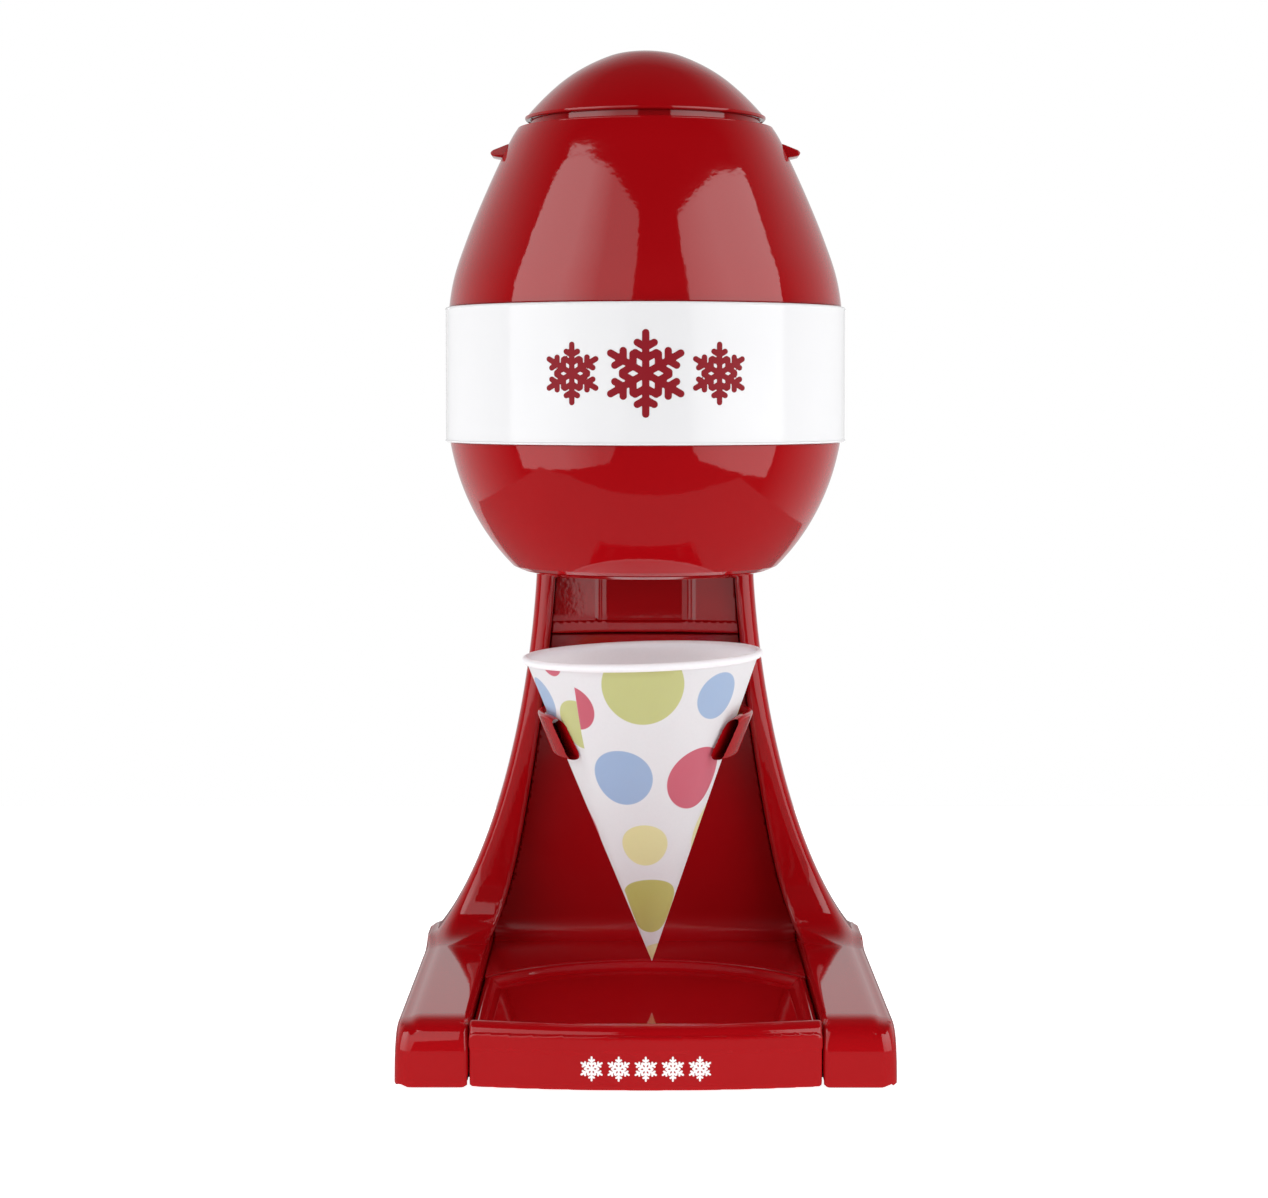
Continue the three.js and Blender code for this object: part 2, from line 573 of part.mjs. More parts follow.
const disc = { bottom: 248, top: 250.5, radius: 38.6 };
add('blade_shaft', turned([
  [0, SHAFT.bottom], [SHAFT.radius - 0.6, SHAFT.bottom], [SHAFT.radius, SHAFT.bottom + 1],
  [SHAFT.radius, disc.bottom - 5], [7, disc.bottom - 5], [7, disc.bottom - GAP], [3, disc.bottom - GAP],
  [3, disc.top + 5], [0, disc.top + 5],
], 20), STEEL);
const bladeSlot = (side) => box(
  side > 0 ? 9 : -35, side > 0 ? 35 : -9, AXIS_Y - 2.5, AXIS_Y + 2.5, 240, 260);
add('blade_disc', cut(
  rod(disc.radius, disc.bottom, disc.top, 0, AXIS_Y, 36), rod(3.15, 240, 260, 0, AXIS_Y, 20),
  bladeSlot(1), bladeSlot(-1)), STEEL);
const blade = sideways([
  [AXIS_Y - 2.1, 248.2], [AXIS_Y - 1, 248], [AXIS_Y + 1.9, 252.6], [AXIS_Y + 1.4, 252.8],
], 9.5, 34.5);
add('blade_right', blade, STEEL);
add('blade_left', blade.rotate([0, 0, 180]).translate([0, 2 * AXIS_Y, 0]), STEEL);
add('disc_nut', turned([
  [0, disc.top + GAP], [7, disc.top + GAP], [7, disc.top + 3], [5, disc.top + 5.4], [0, disc.top + 5.4],
], 6).subtract(rod(3.15, 240, 260, 0, AXIS_Y, 20)), STEEL);

// ---- Interlock ----
add('interlock_rod', rod(ROD.radius, ROD.bottom, ROD.top, 0, back(ROD.forward)), NYLON);
add('microswitch', join(
  box(-9, 9, back(-42), back(-52), 242.2, 255), box(-2, 2, back(-41.8), back(-45.2), 254, 258)), BLACK);

// ---- Lid, dome, press plate ----
const lidRing = turned([
  [RING.lip, RING.bottom], [RING.outer, RING.bottom], [RING.outer, RING.top], [RING.inner, RING.top],
  [RING.inner, RING.bottom + 1.5], [RING.lip, RING.bottom + 1.5],
]);
const rodNotch = box(-3, 3, back(-38), back(ROD.forward - 2.2), RING.bottom - 1, RING.bottom + 3);
add('lid_ring', lidRing.subtract(rodNotch), RED);

const SLEEVE = { inner: 3.4, outer: 5.4, bottom: 345.5, top: 385.5 };
const domeProfile = [
  [0, DOME.top], ...upperArc(DOME.edge, DOME.top - 0.6, 7).reverse(), [DOME.skirtOuter, DOME.edge],
  [DOME.skirtOuter, DOME.skirtBottom], [DOME.skirtInner, DOME.skirtBottom], [DOME.skirtInner, 365.4],
  [36, 370.8], [24, 379.6], [12, 384.9], [SLEEVE.outer, 386.2], [SLEEVE.outer, SLEEVE.bottom],
  [SLEEVE.inner, SLEEVE.bottom], [SLEEVE.inner, SLEEVE.top], [0, SLEEVE.top + 1],
];
add('press_dome', turned(domeProfile), RED);

const PRESS = { bottom: 299, top: 302, radius: 38.2, stemTop: 346.5, travel: 38 };
add('press_plate', turned([
  [0, PRESS.bottom], [PRESS.radius - 0.6, PRESS.bottom], [PRESS.radius, PRESS.bottom + 0.8],
  [PRESS.radius, PRESS.top + 2], [PRESS.radius - 2, PRESS.top + 2], [PRESS.radius - 2, PRESS.top],
  [6, PRESS.top], [3, PRESS.top + 2.5], [3, PRESS.stemTop], [0, PRESS.stemTop],
], 30), NYLON);

// Coil spring between two heights; its ends lie on the pieces it pushes.
class Helix extends THREE.Curve {
  constructor(radius, z0, z1, turns) {
    super();
    Object.assign(this, { radius, z0, z1, turns });
  }

  getPoint(t, target = new THREE.Vector3()) {
    const angle = 2 * Math.PI * this.turns * t;
    const z = this.z0 + (this.z1 - this.z0) * t;
    return target.set(this.radius * Math.cos(angle), this.radius * Math.sin(angle), z);
  }
}

function coil(radius, wire, z0, z1, turns) {
  const path = new Helix(radius, z0 + wire, z1 - wire, turns);
  const sides = Array.from({ length: 5 }, (_, i) => {
    const angle = (i * 2 * Math.PI) / 5;
    return new THREE.Vector2(wire * Math.cos(angle), wire * Math.sin(angle));
  });
  const shape = new THREE.Shape(sides);
  return new THREE.ExtrudeGeometry(shape, { steps: turns * 8, bevelEnabled: false, extrudePath: path });
}
add('press_spring', coil(8.5, 0.8, PRESS.top + 0.4, 384.2, 8), STEEL, 0, AXIS_Y, 0);

// ---- Ear latches ----
const latchOutline = [
  [48.6, 346], [53, 346.3], [58.5, 346.6], [60.8, 347.2], [61.4, 348.3], [60.4, 349.3],
  [54.4, 351.7], [51, 351.9], [49.2, 351.2], [48.6, 349.8],
];
const latch = frontwards(latchOutline, AXIS_Y - LATCH.half, AXIS_Y + LATCH.half).subtract(pinBore(1.5));
const pin = frontwards(arc(LATCH.pivotX, LATCH.pivotZ, 1.2, 0, 330, 11), AXIS_Y - 9.4, AXIS_Y + 9.4);
add('latch_right', latch, RED);
add('latch_left', mirrorX(latch), RED);
add('latch_pin_right', pin, STEEL);
add('latch_pin_left', mirrorX(pin), STEEL);

export default machine;
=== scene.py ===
# Egg-shaped shaved ice machine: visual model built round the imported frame. Lengths in the
# fields and profiles below are millimetres; meshes are turned into metres when they are made.
import math

import bmesh
import bpy
import numpy as np
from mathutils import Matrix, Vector


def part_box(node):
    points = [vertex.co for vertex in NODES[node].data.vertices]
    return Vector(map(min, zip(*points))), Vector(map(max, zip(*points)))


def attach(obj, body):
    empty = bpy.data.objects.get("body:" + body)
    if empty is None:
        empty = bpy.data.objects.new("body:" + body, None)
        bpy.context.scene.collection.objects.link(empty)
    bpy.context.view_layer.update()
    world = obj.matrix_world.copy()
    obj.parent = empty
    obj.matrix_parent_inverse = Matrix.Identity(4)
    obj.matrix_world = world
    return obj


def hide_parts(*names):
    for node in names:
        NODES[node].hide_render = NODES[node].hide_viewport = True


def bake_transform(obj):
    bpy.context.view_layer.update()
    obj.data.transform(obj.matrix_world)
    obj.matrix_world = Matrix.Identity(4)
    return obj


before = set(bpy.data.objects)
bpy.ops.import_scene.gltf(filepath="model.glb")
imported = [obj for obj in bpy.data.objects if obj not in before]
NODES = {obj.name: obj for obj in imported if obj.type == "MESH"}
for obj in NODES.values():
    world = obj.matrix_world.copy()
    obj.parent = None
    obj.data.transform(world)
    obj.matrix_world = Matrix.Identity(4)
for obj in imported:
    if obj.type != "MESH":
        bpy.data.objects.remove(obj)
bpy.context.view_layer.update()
MM = 0.001


def corner(node, which):
    """A CAD node's lowest (0) or highest (1) corner, in millimetres."""
    return [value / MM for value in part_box(node)[which]]


# ---------------------------------------------------------------- driving sizes, from the frame
BAND_LOW, BAND_HIGH = corner("centre_band", 0), corner("centre_band", 1)
AXIS_Y = (BAND_LOW[1] + BAND_HIGH[1]) / 2          # the egg's axis
BAND_R = BAND_HIGH[0]
TOP_Z = corner("press_dome", 1)[2]
EGG_FLOOR = corner("lower_shell", 0)[2]
RIM_Z = corner("upper_shell", 1)[2]
EGG_R, LOWER_TOP, LOWER_HEIGHT = 79.0, 250.0, 87.5
WALL = 2.6

FOOT_FRONT, REAR = 105.0, AXIS_Y - corner("stand_shell", 1)[1]
FOOT_HALF, FLARE_HALF, ARM_TOP = corner("stand_shell", 1)[0], 88.7, 25.2
NECK_HALF, NECK_Z, CAP_Z = 45.0, 178.0, 177.5
FLARE_DROP, REAR_CORNER = 152.0, 26.0              # height that the column flares over; rear corner radius
TRAY_HALF = corner("drip_tray", 1)[0]
TRAY_ARCH = (57.5, 79.5)                           # its rear arc's centre ahead of the axis, and radius
TRAY_FLOOR, TRAY_RIM, TRAY_BOW = 17.6, 20.6, 6.0
APRON_TOP, APRON_BOTTOM = corner("drip_tray", 1)[2], corner("drip_tray", 0)[2]
CUP_Y, CUP_TIP, CUP_TOP, CUP_RIM = AXIS_Y - 15.0, 27.8, 151.3, 47.7
CUP_TILT, CUP_PIVOT = math.radians(1.8), 112.0
CUP_SLOPE = (CUP_RIM - 1.0) / (CUP_TOP - CUP_TIP)


# ---------------------------------------------------------------- camera
def make_camera():
    """Straight on, from the height of the band's lower half, tipped a little down."""
    distance, height = 1.06, 0.2537
    round_left, turn, down = math.radians(0.12), math.radians(-0.123), math.radians(2.52)
    data = bpy.data.cameras.new("camera")
    data.lens, data.sensor_width = 75.3, 36.0
    data.shift_y = -0.071
    data.clip_end = 30.0
    camera = bpy.data.objects.new("camera", data)
    camera.location = (-distance * math.sin(round_left),
                       AXIS_Y * MM - distance * math.cos(round_left), height)
    camera.rotation_euler = (math.pi / 2 - down, 0.0, -turn)
    bpy.context.scene.collection.objects.link(camera)
    bpy.context.scene.camera = camera


make_camera()


# ---------------------------------------------------------------- materials
def new_material(name):
    material = bpy.data.materials.new(name)
    material.use_nodes = True
    tree = material.node_tree
    shader = tree.nodes["Principled BSDF"]
    return material, tree, shader


def node(tree, kind, **settings):
    made = tree.nodes.new(kind)
    for key, value in settings.items():
        if key in made.inputs:
            made.inputs[key].default_value = value
        else:
            setattr(made, key, value)
    return made


def noise(tree, scale, detail=2.0):
    place = node(tree, "ShaderNodeTexCoord")
    texture = node(tree, "ShaderNodeTexNoise", Scale=scale, Detail=detail)
    tree.links.new(place.outputs["Object"], texture.inputs["Vector"])
    return texture.outputs["Fac"]


def ramp(tree, value, low, high, from_min=0.0, from_max=1.0):
    """Maps a 0 to 1 value on to a range of numbers."""
    change = node(tree, "ShaderNodeMapRange")
    change.inputs["From Min"].default_value = from_min
    change.inputs["From Max"].default_value = from_max
    change.inputs["To Min"].default_value = low
    change.inputs["To Max"].default_value = high
    tree.links.new(value, change.inputs["Value"])
    return change.outputs["Result"]


def blend_colours(tree, factor, first, second):
    mix = node(tree, "ShaderNodeMix", data_type="RGBA")
    tree.links.new(factor, mix.inputs[0])
    for slot, colour in ((6, first), (7, second)):
        if isinstance(colour, tuple):
            mix.inputs[slot].default_value = (*colour, 1.0)
        else:
            tree.links.new(colour, mix.inputs[slot])
    return mix.outputs[2]


def bump(tree, shader, height, distance, strength=1.0):
    made = node(tree, "ShaderNodeBump", Strength=strength, Distance=distance)
    tree.links.new(height, made.inputs["Height"])
    tree.links.new(made.outputs["Normal"], shader.inputs["Normal"])


def moulded_plastic(name, dark, light, roughness, peel=0.00003, ior=1.5):
    """Injection-moulded plastic: a little colour drift, uneven polish, orange peel of depth peel."""
    material, tree, shader = new_material(name)
    colour = blend_colours(tree, noise(tree, 22.0), dark, light)
    tree.links.new(colour, shader.inputs["Base Color"])
    polish = ramp(tree, noise(tree, 60.0, 4.0), roughness * 0.8, roughness * 1.3)
    tree.links.new(polish, shader.inputs["Roughness"])
    shader.inputs["IOR"].default_value = ior
    bump(tree, shader, noise(tree, 420.0, 1.0), peel, 0.5)
    return material


def brushed_metal(name, dark, light, roughness):
    """Metal with fine drawn lines round its upright axis."""
    material, tree, shader = new_material(name)
    place = node(tree, "ShaderNodeTexCoord")
    stretch = node(tree, "ShaderNodeMapping", Scale=(1.0, 1.0, 60.0))
    tree.links.new(place.outputs["Object"], stretch.inputs["Vector"])
    lines = node(tree, "ShaderNodeTexNoise", Scale=90.0, Detail=6.0)
    tree.links.new(stretch.outputs["Vector"], lines.inputs["Vector"])
    colour = blend_colours(tree, lines.outputs["Fac"], dark, light)
    tree.links.new(colour, shader.inputs["Base Color"])
    shine = ramp(tree, lines.outputs["Fac"], roughness * 0.7, roughness * 1.4)
    tree.links.new(shine, shader.inputs["Roughness"])
    shader.inputs["Metallic"].default_value = 1.0
    bump(tree, shader, lines.outputs["Fac"], 0.00004, 0.4)
    return material


RED = moulded_plastic("red_plastic", (0.35, 0.002, 0.004), (0.39, 0.003, 0.006), 0.05, ior=1.62)
DEEP_RED = moulded_plastic("deep_red_plastic", (0.32, 0.002, 0.004), (0.36, 0.003, 0.006), 0.17, ior=1.55)
WHITE = moulded_plastic("white_plastic", (0.86, 0.86, 0.88), (0.92, 0.92, 0.93), 0.12)
BLACK = moulded_plastic("black_plastic", (0.012, 0.012, 0.014), (0.03, 0.03, 0.032), 0.45, 0.0001)
NYLON = moulded_plastic("nylon", (0.66, 0.63, 0.55), (0.76, 0.73, 0.65), 0.45, 0.0001)
RUBBER = moulded_plastic("foot_rubber", (0.012, 0.012, 0.012), (0.03, 0.03, 0.03), 0.85, 0.0003)
RED_INK = moulded_plastic("red_ink", (0.25, 0.003, 0.01), (0.29, 0.005, 0.014), 0.5, 0.00001, ior=1.35)
WHITE_INK = moulded_plastic("white_ink", (0.84, 0.82, 0.82), (0.9, 0.88, 0.88), 0.4, 0.00001)
STEEL = brushed_metal("steel", (0.5, 0.51, 0.53), (0.68, 0.69, 0.71), 0.3)
BRASS = brushed_metal("brass", (0.5, 0.34, 0.12), (0.68, 0.5, 0.22), 0.32)


def clear_plastic():
    """Smoky transparent plastic of the ice hopper."""
    material, tree, shader = new_material("clear_plastic")
    colour = blend_colours(tree, noise(tree, 30.0), (0.72, 0.78, 0.8), (0.82, 0.87, 0.89))
    tree.links.new(colour, shader.inputs["Base Color"])
    shader.inputs["Roughness"].default_value = 0.12
    shader.inputs["Transmission Weight"].default_value = 0.75
    shader.inputs["IOR"].default_value = 1.49
    bump(tree, shader, noise(tree, 300.0), 0.00003, 0.4)
    return material


CLEAR = clear_plastic()


def object_from(name, mesh, material, body, *replaced):
    mesh.materials.append(material)
    piece = bpy.data.objects.new(name, mesh)
    bpy.context.scene.collection.objects.link(piece)
    if replaced:
        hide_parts(*replaced)
    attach(piece, body)
    return piece


def mesh_from(name, points, faces, sharp=None):
    """Mesh from points in millimetres, its faces turned outward and shaded smooth."""
    mesh = bpy.data.meshes.new(name)
    mesh.from_pydata([tuple(p) for p in np.asarray(points, float) * MM], [], faces)
    working = bmesh.new()
    working.from_mesh(mesh)
    bmesh.ops.recalc_face_normals(working, faces=working.faces)
    working.to_mesh(mesh)
    working.free()
    mesh.polygons.foreach_set("use_smooth", [True] * len(mesh.polygons))
    if sharp is not None:
        mesh.set_sharp_from_angle(angle=math.radians(sharp))
    return mesh


def joined_rows(rows, width):
    """Quads between neighbouring rows of width points, each row closed on itself."""
    faces = []
    for k in range(rows - 1):
        for c in range(width):
            following = (c + 1) % width
            faces.append((k * width + c, k * width + following,
                          (k + 1) * width + following, (k + 1) * width + c))
    return faces


def filleted(points, steps=6):
    """Outline of (u, v, radius) corners with an arc at each corner that has a radius."""
    outline = []
    count = len(points)
    for i, (u, v, radius) in enumerate(points):
        here = Vector((u, v))
        before = Vector(points[i - 1][:2]) - here
        after = Vector(points[(i + 1) % count][:2]) - here
        if radius <= 0 or before.length < 1e-6 or after.length < 1e-6:
            outline.append((u, v))
            continue
        first, second = before.normalized(), after.normalized()
        half = first.angle(second) / 2
        if half > math.radians(89):
            outline.append((u, v))
            continue
        reach = min(radius / math.tan(half), 0.48 * before.length, 0.48 * after.length)
        radius = reach * math.tan(half)
        centre = here + (first + second).normalized() * (radius / math.sin(half))
        start, end = here + first * reach - centre, here + second * reach - centre
        for k in range(steps + 1):
            spoke = start.slerp(end, k / steps) if k not in (0, steps) else (start, end)[k == steps]
            outline.append(tuple(centre + spoke))
    return outline


def turned_mesh(name, profile, segments):
    """Turns a closed (radius, z) profile about the egg's axis; points on the axis become poles."""
    points, rings = [], []
    for radius, z in profile:
        if radius < 1e-6:
            rings.append([len(points)])
            points.append((0.0, AXIS_Y, z))
        else:
            rings.append(range(len(points), len(points) + segments))
            for k in range(segments):
                angle = 2 * math.pi * k / segments
                points.append((radius * math.cos(angle), AXIS_Y + radius * math.sin(angle), z))
    faces = []
    for a, b in zip(rings, rings[1:] + rings[:1]):
        for k in range(segments):
            following = (k + 1) % segments
            if len(a) > 1 and len(b) > 1:
                faces.append((a[k], a[following], b[following], b[k]))
            elif len(a) > 1:
                faces.append((a[k], a[following], b[0]))
            elif len(b) > 1:
                faces.append((a[0], b[following], b[k]))
    return mesh_from(name, points, faces, 38)


# ---------------------------------------------------------------- implicit shapes
# Each field takes an array of points and is negative inside the piece.
def smooth_max(a, b, k):
    overlap = np.maximum(k - np.abs(a - b), 0.0) / k
    return np.maximum(a, b) + overlap * overlap * k / 4


def smooth_min(a, b, k):
    return -smooth_max(-a, -b, k)


def slope_of(field, points, step=0.02):
    gradient = np.empty_like(points)
    for axis in range(3):
        offset = np.zeros(3)
        offset[axis] = step
        gradient[:, axis] = (field(points + offset) - field(points - offset)) / (2 * step)
    return gradient


def grid_cells(field, low, high, cell):
    """One vertex in every grid cell that the surface crosses, joined into quads."""
    axes = [np.arange(low[k] - 2 * cell, high[k] + 2 * cell, cell) for k in range(3)]
    sizes = [len(a) for a in axes]
    inside = np.empty(sizes, bool)
    for i, x in enumerate(axes[0]):
        y, z = np.meshgrid(axes[1], axes[2], indexing="ij")
        layer = np.stack([np.full(y.size, x), y.ravel(), z.ravel()], axis=1)
        inside[i] = (field(layer) < 0).reshape(y.shape)
    corners = np.zeros([n - 1 for n in sizes], np.int8)
    for di in (0, 1):
        for dj in (0, 1):
            for dk in (0, 1):
                corners += inside[di:sizes[0] - 1 + di, dj:sizes[1] - 1 + dj, dk:sizes[2] - 1 + dk]
    crossed = (corners > 0) & (corners < 8)
    number = np.full(crossed.shape, -1)
    number[crossed] = np.arange(crossed.sum())
    where = np.argwhere(crossed)
    points = np.stack([axes[k][where[:, k]] + cell / 2 for k in range(3)], axis=1)
    quads = []
    for axis in range(3):
        first, second = [(1, 2), (2, 0), (0, 1)][axis]
        here = inside.take(range(sizes[axis] - 1), axis)
        there = inside.take(range(1, sizes[axis]), axis)
        edges = np.argwhere(here != there)
        edges = edges[(edges[:, first] > 0) & (edges[:, second] > 0)]
        ring = []
        for back_first, back_second in ((1, 1), (0, 1), (0, 0), (1, 0)):
            spot = edges.copy()
            spot[:, first] -= back_first
            spot[:, second] -= back_second
            ring.append(number[spot[:, 0], spot[:, 1], spot[:, 2]])
        ring = np.stack(ring, axis=1)
        flip = there[edges[:, 0], edges[:, 1], edges[:, 2]]
        ring[flip] = ring[flip][:, ::-1]
        quads.append(ring)
    return points, np.concatenate(quads)


def relax(points, quads, amount=0.6):
    total, count = np.zeros_like(points), np.zeros(len(points))
    for k in range(4):
        ends = quads[:, k], quads[:, (k + 1) % 4]
        for a, b in (ends, ends[::-1]):
            np.add.at(total, a, points[b])
            np.add.at(count, a, 1)
    return points + amount * (total / count[:, None] - points)


def settle(field, points, rounds, reach):
    """Moves points along the field's slope until they lie on its surface."""
    for _ in range(rounds):
        gradient = slope_of(field, points)
        length = np.maximum((gradient ** 2).sum(axis=1), 0.05)
        step = gradient * (field(points) / length)[:, None]
        size = np.linalg.norm(step, axis=1, keepdims=True)
        points = points - step * np.minimum(1.0, reach / np.maximum(size, 1e-9))
    return points


def moulded_mesh(name, field, low, high, cell):
    points, quads = grid_cells(field, low, high, cell)
    for _ in range(3):
        points = settle(field, points, 2, cell)
        points = relax(points, quads)
    points = settle(field, points, 6, cell / 2)
    mesh = bpy.data.meshes.new(name)
    mesh.from_pydata([tuple(p) for p in points * MM], [], quads.tolist())
    mesh.polygons.foreach_set("use_smooth", [True] * len(mesh.polygons))
    gradient = slope_of(field, points)
    normals = gradient / np.maximum(np.linalg.norm(gradient, axis=1, keepdims=True), 1e-9)
    mesh.normals_split_custom_set_from_vertices([tuple(n) for n in normals])
    return mesh


# ---------------------------------------------------------------- outlines shared by the pieces
def bezier(a, b, c, d, t):
    a, b, c, d = (np.array(p) for p in (a, b, c, d))
    t = np.asarray(t)[:, None]
    return (1 - t) ** 3 * a + 3 * (1 - t) ** 2 * t * b + 3 * (1 - t) * t ** 2 * c + t ** 3 * d


COLUMN = bezier((FLARE_HALF, ARM_TOP), (68.1, 49.9), (49.3, 110.5), (NECK_HALF, NECK_Z),
                np.linspace(0, 1, 80))


def column_half(z):
    """Outer half-width of the stand's column, which flares from the neck to the arms."""
    return np.interp(z, COLUMN[:, 1], COLUMN[:, 0])


def channel_half(z):
    """Half-width between the ribbons that edge the channel, 8 mm wide at the neck and 24 at the arms."""
    ribbon = 8 + 16 * np.clip((NECK_Z - z) / FLARE_DROP, 0, 1) ** 2.8
    return np.minimum(column_half(z) - ribbon, TRAY_HALF + 0.3)


def column_front(z):
    """How far in front of the egg's axis the ribbons lie; negative is behind it."""
    return -32 - 24 * np.clip((NECK_Z - z) / FLARE_DROP, 0, None) ** 1.3


def column_rear(z):
    """The same for the column's back, which leans forward as it rises."""
    return REAR + 27 * np.sin(np.pi / 2 * np.clip(z / 190, 0, 1)) ** 1.2


def rounded_rear(across, forward, half, rear, radius):
    """Distance outside an outline that is open in front and has two round rear corners."""
    side = np.abs(across) - (half - radius)
    behind = (rear + radius) - forward
    outside = np.hypot(np.maximum(side, 0), np.maximum(behind, 0))
    return outside + np.minimum(np.maximum(side, behind), 0) - radius


def egg_distance(x, forward, z, grow=0.0):
    """Rough distance outside the lower egg, its flat floor and its band."""
    radius = np.hypot(x, forward)
    below = np.minimum(z - LOWER_TOP, 0)
    shape = np.sqrt((radius / (EGG_R + grow)) ** 2 + (below / (LOWER_HEIGHT + grow)) ** 2)
    bowl = (shape - 1) * EGG_R * 0.9
    band = np.maximum(radius - (BAND_R + grow), (BAND_LOW[2] - grow) - z)
    return np.minimum(np.maximum(bowl, (EGG_FLOOR - grow) - z), band)


def stand_field(p):
    """Feet and flared column, less the channel, the base plate's recess and the egg's seat."""
    x, forward, z = p[:, 0], AXIS_Y - p[:, 1], p[:, 2]
    side_view = smooth_min(forward - column_front(z), z - ARM_TOP, 30.0)
    side_view = smooth_max(side_view, forward - FOOT_FRONT, 13.0)
    foot = rounded_rear(x, forward, FOOT_HALF - 0.012 * z, column_rear(z), REAR_CORNER)
    foot = np.maximum(foot, z - ARM_TOP)
    column = rounded_rear(x, forward, column_half(z), column_rear(z), REAR_CORNER)
    outer = smooth_max(side_view, smooth_min(foot, column, 2.0), 7.0)
    outer = smooth_max(outer, 0.6 - z, 1.2)
    channel = rounded_rear(x, forward, channel_half(z), column_rear(z) + 3, 16.0)
    channel = np.maximum(channel, z - CAP_Z)
    outer = smooth_max(outer, -channel, 2.4)
    plate = rounded_rear(x, forward, FOOT_HALF - 3.0, REAR + 2.6, 23.0)
    plate = np.maximum(np.maximum(plate, z - 5.3), forward - (FOOT_FRONT - 2.5))
    outer = smooth_max(outer, -plate, 0.8)
    return smooth_max(outer, -egg_distance(x, forward, z, 0.45), 1.2)


def tray_sides(x, forward, inset=0.0):
    """Distance outside the tray's outline, moved inward by inset."""
    arch = np.hypot(x, np.minimum(forward - TRAY_ARCH[0], 0)) - (TRAY_ARCH[1] - inset)
    side = np.maximum(np.abs(x) - (TRAY_HALF - inset), arch)
    front = forward - (FOOT_FRONT - inset + TRAY_BOW * (1 - (x / TRAY_HALF) ** 2))
    return side, front


def tray_field(p):
    """Dish with a raised rim, a bowed apron in front and a runner under each side."""
    x, forward, z = p[:, 0], AXIS_Y - p[:, 1], p[:, 2]
    side, front = tray_sides(x, forward)
    dish = smooth_max(side, z - TRAY_RIM, 2.6)
    dish = np.maximum(dish, np.maximum(front, (TRAY_FLOOR - 2) - z))
    inner_side, inner_front = tray_sides(x, forward, 4.0)
    hollow = smooth_max(np.maximum(inner_side, inner_front + 3), TRAY_FLOOR - z, 3.5)
    dish = smooth_max(dish, -hollow, 1.8)
    apron = smooth_max(front, z - APRON_TOP, 8.0)
    apron = smooth_max(apron, -(front + 8.0), 4.0)
    apron = smooth_max(apron, side, 0.8)
    apron = smooth_max(apron, APRON_BOTTOM - z, 1.5)
    apron = np.maximum(apron, 96 - forward)
    runner = np.maximum(np.abs(np.abs(x) - (TRAY_HALF - 1.6)) - 1.5, np.abs(z - 11.5) - 6)
    runner = np.maximum(runner, np.abs(forward - 68) - 31)
    return np.minimum(smooth_min(dish, apron, 1.0), runner)


def liner_face(z):
    """How far in front of the egg's axis the liner's face lies."""
    return column_front(z) - 13


def liner_field(p):
    """Sheet that backs the channel and sweeps forward over the floor as far as the tray."""
    x, forward, z = p[:, 0], AXIS_Y - p[:, 1], p[:, 2]
    face = smooth_min(forward - liner_face(z), z - TRAY_RIM, 12.0)
    sheet = np.maximum(face, -(face + 2.4))
    sheet = np.maximum(sheet, np.abs(x) - (channel_half(z) - 0.12))
    sheet = np.maximum(sheet, np.maximum(z - 153, forward - 60))
    side, front = tray_sides(x, forward, -0.5)
    return smooth_max(sheet, -np.maximum(side, front), 0.8)


def panel_field(p):
    """Panel in three facets, with two grooves and a lip along its lower edge."""
    x, forward, z = p[:, 0], AXIS_Y - p[:, 1], p[:, 2]
    face = -45 + 0.25 * np.maximum(np.abs(x) - 15.5, 0)
    groove = 0.5 * np.clip(1.4 - np.abs(np.abs(x) - 19.5), 0, 1) * (z > 159)
    sheet = np.abs(forward - (face - groove / 2 - 1.2)) - (1.2 - groove / 2)
    lip = np.maximum(np.abs(forward - (face - 0.9)) - 1.5, z - 158.2)
    sheet = smooth_min(sheet, lip, 0.8)
    sheet = smooth_max(sheet, 153.6 - z, 1.2)
    return np.maximum(np.maximum(sheet, z - (CAP_Z - 0.3)), np.abs(x) - (channel_half(z) - 0.08))


def holder_field(p):
    """Open ring with two claws, and the arm and plate that carry it."""
    x, forward, z = p[:, 0], AXIS_Y - p[:, 1], p[:, 2]
    ahead = forward - 15
    cup = CUP_SLOPE * (z - CUP_TIP)
    steep = math.cos(math.atan(CUP_SLOPE))
    from_cup = (np.hypot(x, ahead) - cup) * steep
    ring = np.abs(from_cup - 2.7) - 1.95
    along = 38 * np.abs(np.arctan2(x, ahead))
    curl = 14 * np.hypot(np.maximum(46 - along, 0) / 16, np.maximum(z - 114.4, 0) / 14) - 14
    ends = smooth_max(curl, 111 - z, 6.0)
    ring = smooth_max(ring, ends, 1.8)
    back_face = liner_face(z) + 0.5
    arm = np.maximum(np.abs(x) - 5.5, np.abs(z - 119) - 7)
    arm = np.maximum(arm, np.maximum(forward + 20, back_face - forward))
    arm = np.maximum(arm, 1.7 - from_cup)
    plate = np.maximum(np.abs(x) - 14, np.abs(z - 118) - 13)
    plate = smooth_max(plate, np.abs(forward - back_face - 1.5) - 1.5, 1.5)
    return smooth_min(smooth_min(ring, arm, 3.0), plate, 2.0)


